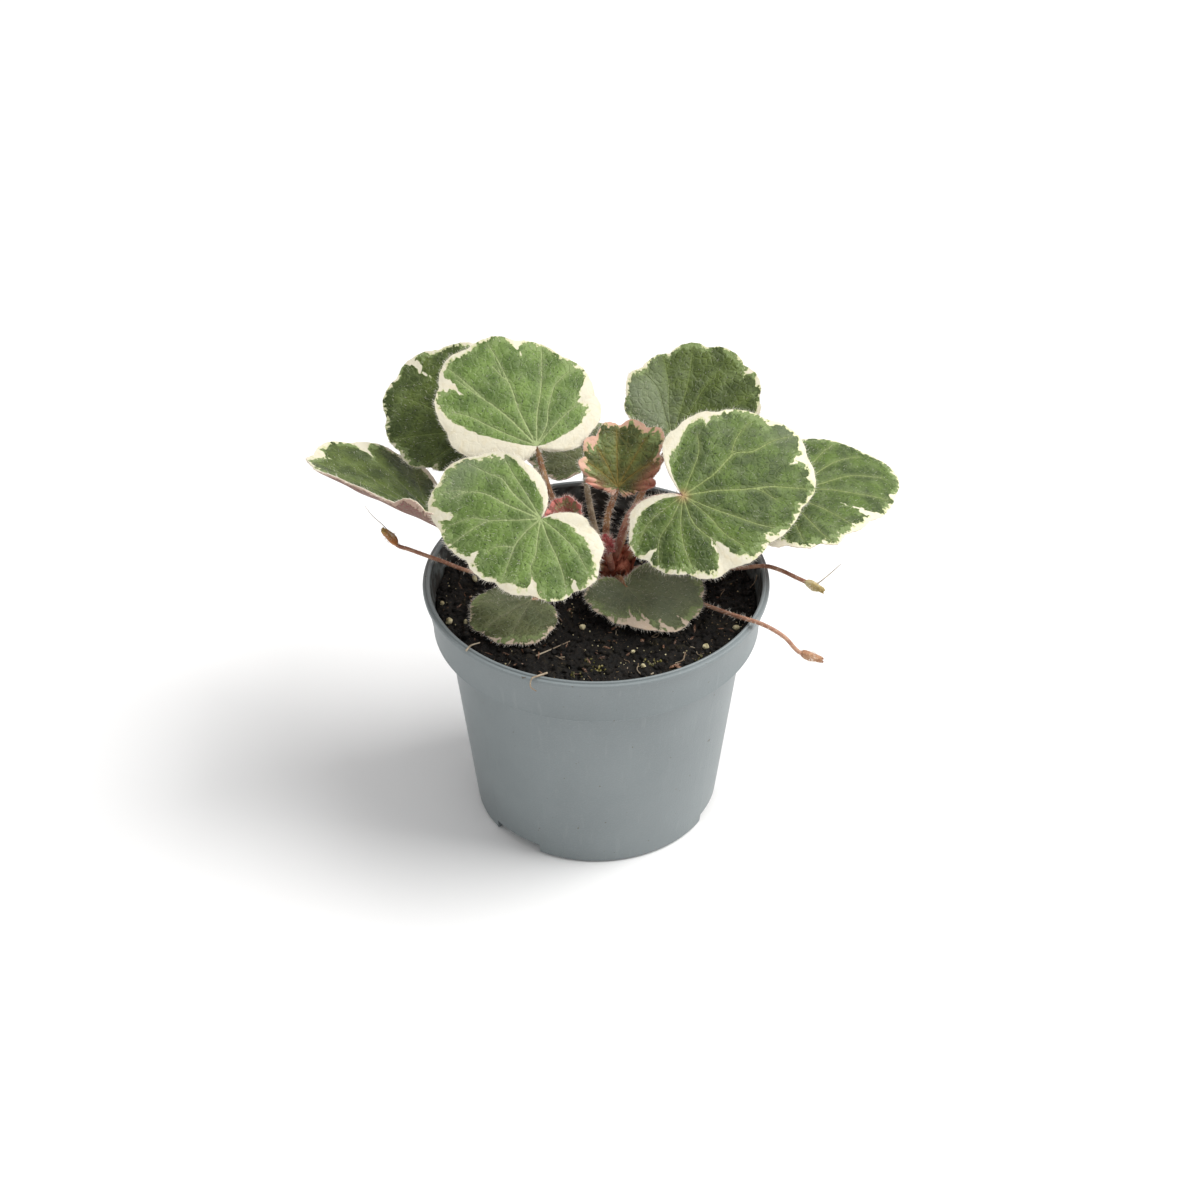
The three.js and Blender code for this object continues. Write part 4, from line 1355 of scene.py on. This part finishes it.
def egg(centre, axis, width, length, folds, depth, ring_count=28):
    """The active piece becomes a folded egg about the centre, drawn along the axis, in mm."""
    clear_selection()
    bpy.ops.mesh.primitive_uv_sphere_add(segments=48, ring_count=ring_count, radius=1)
    piece = bpy.context.active_object
    points = points_of(piece.data)
    turn = np.arctan2(points[:, 1], points[:, 0])
    crease = 1 - depth * np.abs(np.sin(turn * folds / 2 + points[:, 2] * 0.9)) ** 0.6
    points[:, :2] *= (crease * width / 2 * (1 - 0.25 * points[:, 2]))[:, None]
    points[:, 2] *= length / 2
    way = Vector(axis).to_track_quat("Z", "Y").to_matrix()
    points = points @ np.array(way).T + np.array(centre)
    piece.data.vertices.foreach_set("co", (points * MM).ravel())
    piece.data.update()
    return piece


lumps(egg(BUD_CENTRE, (-0.1, -0.1, 1), 5.2, 6.2, 5, 0.35), "VORONOI", 1.1, 1.3)
finished("bud_centre", bud_finish(), "young_leaf", "bud_centre", smooth=60)
bud_route = smooth_route([crown_foot(BUD_FOOT), BUD_FOOT, BUD_CENTRE], 6)
tube(bud_route, [0.9] * len(bud_route))
finished("bud_centre_stalk", stalk_materials["pink"], "young_leaf")
ways = unit(chance.normal(size=(BUD_HAIRS, 3)))
roots = np.array(BUD_CENTRE) + ways * np.array([1.9, 1.9, 2.7])
lengths = chance.uniform(0.5, 1.4, BUD_HAIRS)
hairs("bud_centre_hairs", roots, ways, lengths, BUD_HAIR_WIDTH, pink_hair, "young_leaf")

# Runners: thread-like pink-brown stems that arch out over the rim to a small bud at their tips.
# Each grows from the crown, and its bud is a creased egg wrapped in small scales and fine hairs.
RUNNER_RADIUS = 0.55
RUNNER_HAIR_WIDTH = 0.04
TIP_WIDTH = 2.8
TIP_LENGTH = 6
TIP_SCALES = 9
TIP_SCALE_TURN = 2.4
TIP_HAIRS = 160
runner_skin = stalk_finish("runner_skin", paint(148, 100, 78), paint(184, 142, 116))
tip_skins = {
    "runner_left": stalk_finish("left_tip", paint(176, 112, 56), paint(160, 150, 84)),
    "runner_right": stalk_finish("right_tip", paint(172, 150, 92), paint(214, 204, 160)),
    "runner_front": stalk_finish("front_tip", paint(134, 82, 56), paint(186, 142, 106)),
}


def runner(name, points, stem_hairs):
    """A stem from the crown through the points, in mm, with the bud at the last of them."""
    route = smooth_route([crown_foot(points[0]), *points], 6)
    tube(route, [RUNNER_RADIUS] * len(route), sides=8)
    finished(name + "_stem", runner_skin, "runner")
    centre = Vector(points[-1])
    axis = centre - Vector(points[-2])
    egg(centre, axis, TIP_WIDTH, TIP_LENGTH, 3, 0.3, ring_count=20)
    finished(name, tip_skins[name], "runner", name, smooth=60)
    headings = np.arange(TIP_SCALES) * TIP_SCALE_TURN
    way = np.array(axis.normalized())
    side = np.cross(way, (0, 0, 1))
    side /= np.linalg.norm(side)
    rise = np.cross(side, way)
    out = np.cos(headings)[:, None] * side + np.sin(headings)[:, None] * rise
    turns = scale_frames(way + out * chance.uniform(0.1, 0.55, (TIP_SCALES, 1)), out)
    turns *= chance.uniform(0.42, 0.6, (TIP_SCALES, 1, 1))
    spots = np.array(centre) + way * chance.uniform(0, TIP_LENGTH * 0.28, (TIP_SCALES, 1)) + out * 0.6
    scatter(name + "_scales", scale_pattern, turns, spots * MM, tip_skins[name], "runner")
    spots, _, ways = along_stem(route, 0.1, stem_hairs)
    roots = spots + ways * RUNNER_RADIUS * 0.85
    lengths = chance.uniform(0.5, 1.5, stem_hairs)
    puff = unit(chance.normal(size=(TIP_HAIRS, 3)))
    roots = np.concatenate([roots, np.array(centre) + puff * 1.1])
    ways = np.concatenate([ways, puff + way * 0.6])
    lengths = np.concatenate([lengths, chance.uniform(0.6, 1.5, TIP_HAIRS)])
    hairs(name + "_hairs", roots, ways, lengths, RUNNER_HAIR_WIDTH, white_hair, "runner")


runner(
    "runner_left",
    (
        (-12, 9.6, 66), (-30.8, 4.6, 67.8), (-40.7, 5.3, 71.4), (-44.6, 6.9, 71.9),
        (-49.1, 8.4, 72.8), (-51.7, 8.8, 73.6), (-53.7, 9.3, 76),
    ),
    stem_hairs=160,
)
runner(
    "runner_right",
    (
        (16, 10.4, 66), (28, 6.4, 68.2), (37.4, 3.8, 70), (43.8, 2.8, 71.4),
        (47.6, 0.5, 71.8), (51.3, -2.8, 72), (54, -5, 72), (56, -6.7, 72),
    ),
    stem_hairs=160,
)
runner(
    "runner_front",
    (
        (11, 6.5, 64.5), (20, 0.6, 64.1), (26.9, -4.2, 64.6), (30.3, -8.7, 66.4),
        (34.2, -15.2, 69.4), (37.8, -19.5, 71.2), (40.7, -21.1, 71.3), (44, -22.6, 70.6),
        (47.8, -23, 67.9), (51.6, -23, 63.2), (54.7, -23, 61.9),
    ),
    stem_hairs=260,
)

# Litter on the soil: crumbs of peat, pale mineral grains, bark chips and bits of moss, all loose.
# Each is made of many copies of one lumpy ball, every copy turned and stretched in its own way.
CRUMBS = 1500
CRUMB_REACH = 41.5
GRAINS = 240
CHIPS = 120
LITTER_REACH = 41
MOSS_BITS = 14
clear_selection()
bpy.ops.mesh.primitive_ico_sphere_add(subdivisions=2, radius=1)
crumb_pattern = bpy.context.active_object
lumps(crumb_pattern, "CLOUDS", 900, 700)


def strewn(count, inner, outer):
    """Random spots on the soil between two radii, in mm."""
    headings = chance.uniform(0, 2 * math.pi, count)
    radii = np.sqrt(chance.uniform(inner**2, outer**2, count))
    x, y = radii * np.cos(headings), radii * np.sin(headings)
    return np.array([(a, b, soil_height(a, b)) for a, b in zip(x, y)])


def tumbled(sizes):
    """Random turns with each axis stretched by its own size in mm."""
    return frames_along(chance.normal(size=sizes.shape)) * sizes[:, None, :] * MM


def grain_finish():
    material, shader, tone = new_finish("mineral_grain", Specular_IOR_Level=0.4)
    patch = tone.noise(place(tone), 900, 4)
    colour = patch.over(0.35, 0.6).pick(paint(150, 140, 104), paint(222, 212, 172))
    bump = relief(tone, patch, 0.0003)
    return wear(material, shader, Base_Color=colour, Roughness=0.6 + patch * 0.3, Normal=bump)


spots = strewn(CRUMBS, 0, CRUMB_REACH)
sizes = chance.uniform(0.25, 1.0, (CRUMBS, 1)) * chance.uniform(0.6, 1.3, (CRUMBS, 3))
scatter("peat_crumbs", crumb_pattern, tumbled(sizes), spots * MM, soil_material, "peat")

seen = (
    (9.4, -21.9), (11.9, -29.3), (-40, -2.9), (-37.9, -9.7), (-33.6, -9.7), (-31.9, 8.9), (-3.4, -11.4),
    (28, -21), (19, -32), (36, -12), (-22, 30), (8, 33),
)
big = np.array([(x, y, soil_height(x, y) + 0.4) for x, y in seen])
small = strewn(GRAINS, 0, LITTER_REACH)
small[:, 2] += 0.15
spots = np.concatenate([big, small])
sizes = np.concatenate([
    chance.uniform(0.6, 0.95, (len(big), 1)),
    chance.uniform(0.1, 0.24, (GRAINS, 1)),
])
sizes = sizes * chance.uniform(0.7, 1.2, (len(spots), 3))
scatter("mineral_grains", crumb_pattern, tumbled(sizes), spots * MM, grain_finish(), "peat")

spots = strewn(CHIPS, 0, LITTER_REACH)
spots[:, 2] += 0.2
sizes = np.stack([
    chance.uniform(0.12, 0.35, CHIPS),
    chance.uniform(0.2, 0.5, CHIPS),
    chance.uniform(0.5, 2, CHIPS),
], axis=1)
level = chance.normal(size=(CHIPS, 3)) * np.array([1, 1, 0.25])
turns = frames_along(level) * sizes[:, None, :] * MM
chip_bark = stalk_finish("chip_bark", paint(58, 36, 26), paint(112, 76, 54))
scatter("bark_chips", crumb_pattern, turns, spots * MM, chip_bark, "peat")

moss =stalk_finish("moss", paint(52, 54, 14), paint(112, 106, 34))
clumps = np.array([(-4.8, -31.3), (1, -29.3), (-1.5, -26), (14, -27), (26, -26)])
spots = np.repeat(clumps, MOSS_BITS, axis=0)
spots = spots + chance.normal(0, 1, spots.shape)
spots = np.array([(x, y, soil_height(x, y) + 0.1) for x, y in spots])
sizes = chance.uniform(0.15, 0.4, (len(spots), 1)) * chance.uniform(0.6, 1.4, (len(spots), 3))
scatter("moss_bits", crumb_pattern, tumbled(sizes), spots * MM, moss, "peat")
for pattern in (crumb_pattern, hair_pattern, scale_pattern):
    bpy.data.objects.remove(pattern)

# Dead roots and fibres: pale thread-like roots lying in the soil, one dried over the front rim, a
# twig on the rim and the threads that trail from the runners' tips.
FIBRES = 18
dry_root = stalk_finish("dry_root", paint(118, 98, 78), paint(178, 166, 144))


def thread(points, radius):
    """A thin root along the points, in mm, that tapers to its tip."""
    route = smooth_route(points, 5)
    return tube(route, np.linspace(radius, radius * 0.45, len(route)), sides=6)


def lain(points, lift=0.15):
    """The points set on the soil, a little lifted."""
    return [(x, y, soil_height(x, y) + lift) for x, y in points]


threads = [
    thread(lain([(-15.2, -24.5), (-11, -21), (-6.7, -17.7)], 0.5), 0.22),
    thread(lain([(14.5, -31), (12.4, -32.2), (10.4, -30.6), (10.8, -28)], 0.4), 0.2),
    thread([(5.1, -11.4, 64.5), (5.2, -14, 63.6), (4.8, -17.7, 62.8)], 0.13),
    thread(lain([(22.6, -24), (22, -26.5), (20, -28.1)], 0.4), 0.22),
    thread([(-32.5, -31.4, 70.2), (-31.4, -29.6, 70.4), (-29.2, -28, 70.1)], 0.3),
    thread(
        [
            (-12.1, -40, 69.9), (-14.4, -41.9, 70.4), (-15.8, -42.6, 70.3), (-16.2, -43.6, 68.5),
            (-14.8, -43.6, 67),
        ],
        0.3,
    ),
    thread([(42.1, 6.2, 66), (41.6, 4.8, 65), (40.2, 3.2, 64)], 0.2),
    thread([(-53.9, 9.6, 77.5), (-55.5, 11.2, 78.4), (-58.6, 13.4, 80.2), (-60.2, 14.6, 82)], 0.14),
    thread([(56, -6.7, 72), (57.6, -5.9, 72.8), (60.6, -4.7, 75), (62.8, -4.4, 77.4)], 0.2),
]
for _ in range(FIBRES):
    x, y, _ = strewn(1, 8, 37)[0]
    steps = np.cumsum(chance.normal(0, 1.6, (3, 2)), axis=0)
    spots = [(x, y), *(steps + (x, y))]
    spots = [(a, b) for a, b in spots if math.hypot(a, b) < 40]
    if len(spots) > 2:
        threads.append(thread(lain(spots), chance.uniform(0.08, 0.18)))
clear_selection()
for piece in threads:
    piece.select_set(True)
bpy.context.view_layer.objects.active = threads[0]
bpy.ops.object.join()
finished("dead_roots", dry_root, "peat", smooth=60)

# Floor, light and camera: a plain white table, a bright soft room and a soft lamp high on the
# right, seen from the photograph's place.
FLOOR_HEIGHT = -0.0004
ROOM_STRENGTH = 0.62
CAMERA_SPOT = (0.001, -0.5994, 0.5133)
CAMERA_AIM = (0.001, 0, 0.06245)
CAMERA_LENS = 86.31


def table_finish():
    material, shader, tone = new_finish("table_top", Specular_IOR_Level=0.1)
    grain = tone.noise(place(tone), 40, 2)
    colour = grain.pick(paint(246, 246, 246), paint(248, 248, 248))
    return wear(material, shader, Base_Color=colour, Roughness=0.8 + grain * 0.05)


clear_selection()
bpy.ops.mesh.primitive_plane_add(size=6, location=(0, 0, FLOOR_HEIGHT))
floor = bpy.context.active_object
floor.name = "floor"
floor.data.materials.append(table_finish())

world = bpy.data.worlds.new("room")
world.use_nodes = True
world.node_tree.nodes["Background"].inputs["Color"].default_value = (1, 1, 1, 1)
world.node_tree.nodes["Background"].inputs["Strength"].default_value = ROOM_STRENGTH
bpy.context.scene.world = world


def lamp(name, spot, size, power, colour):
    """A square lamp at the spot, in metres, aimed at the plant."""
    light = bpy.data.lights.new(name, "AREA")
    light.shape = "SQUARE"
    light.size = size
    light.energy = power
    light.color = colour
    fixture = bpy.data.objects.new(name, light)
    fixture.location = spot
    fixture.rotation_euler = (Vector((0, 0, 0.07)) - Vector(spot)).to_track_quat("-Z", "Y").to_euler()
    bpy.context.scene.collection.objects.link(fixture)


lamp("key", (1.1, 0.05, 1.5), 1.4, 40, (1, 0.99, 0.975))

camera = bpy.data.objects.new("camera", bpy.data.cameras.new("camera"))
camera.data.sensor_width = 36
camera.data.lens = CAMERA_LENS
camera.data.clip_start = 0.05
camera.location = CAMERA_SPOT
aim = Vector(CAMERA_AIM) - camera.location
camera.rotation_euler = aim.to_track_quat("-Z", "Y").to_euler()
bpy.context.scene.collection.objects.link(camera)
bpy.context.scene.camera = camera
bpy.context.scene.view_settings.view_transform = "Standard"
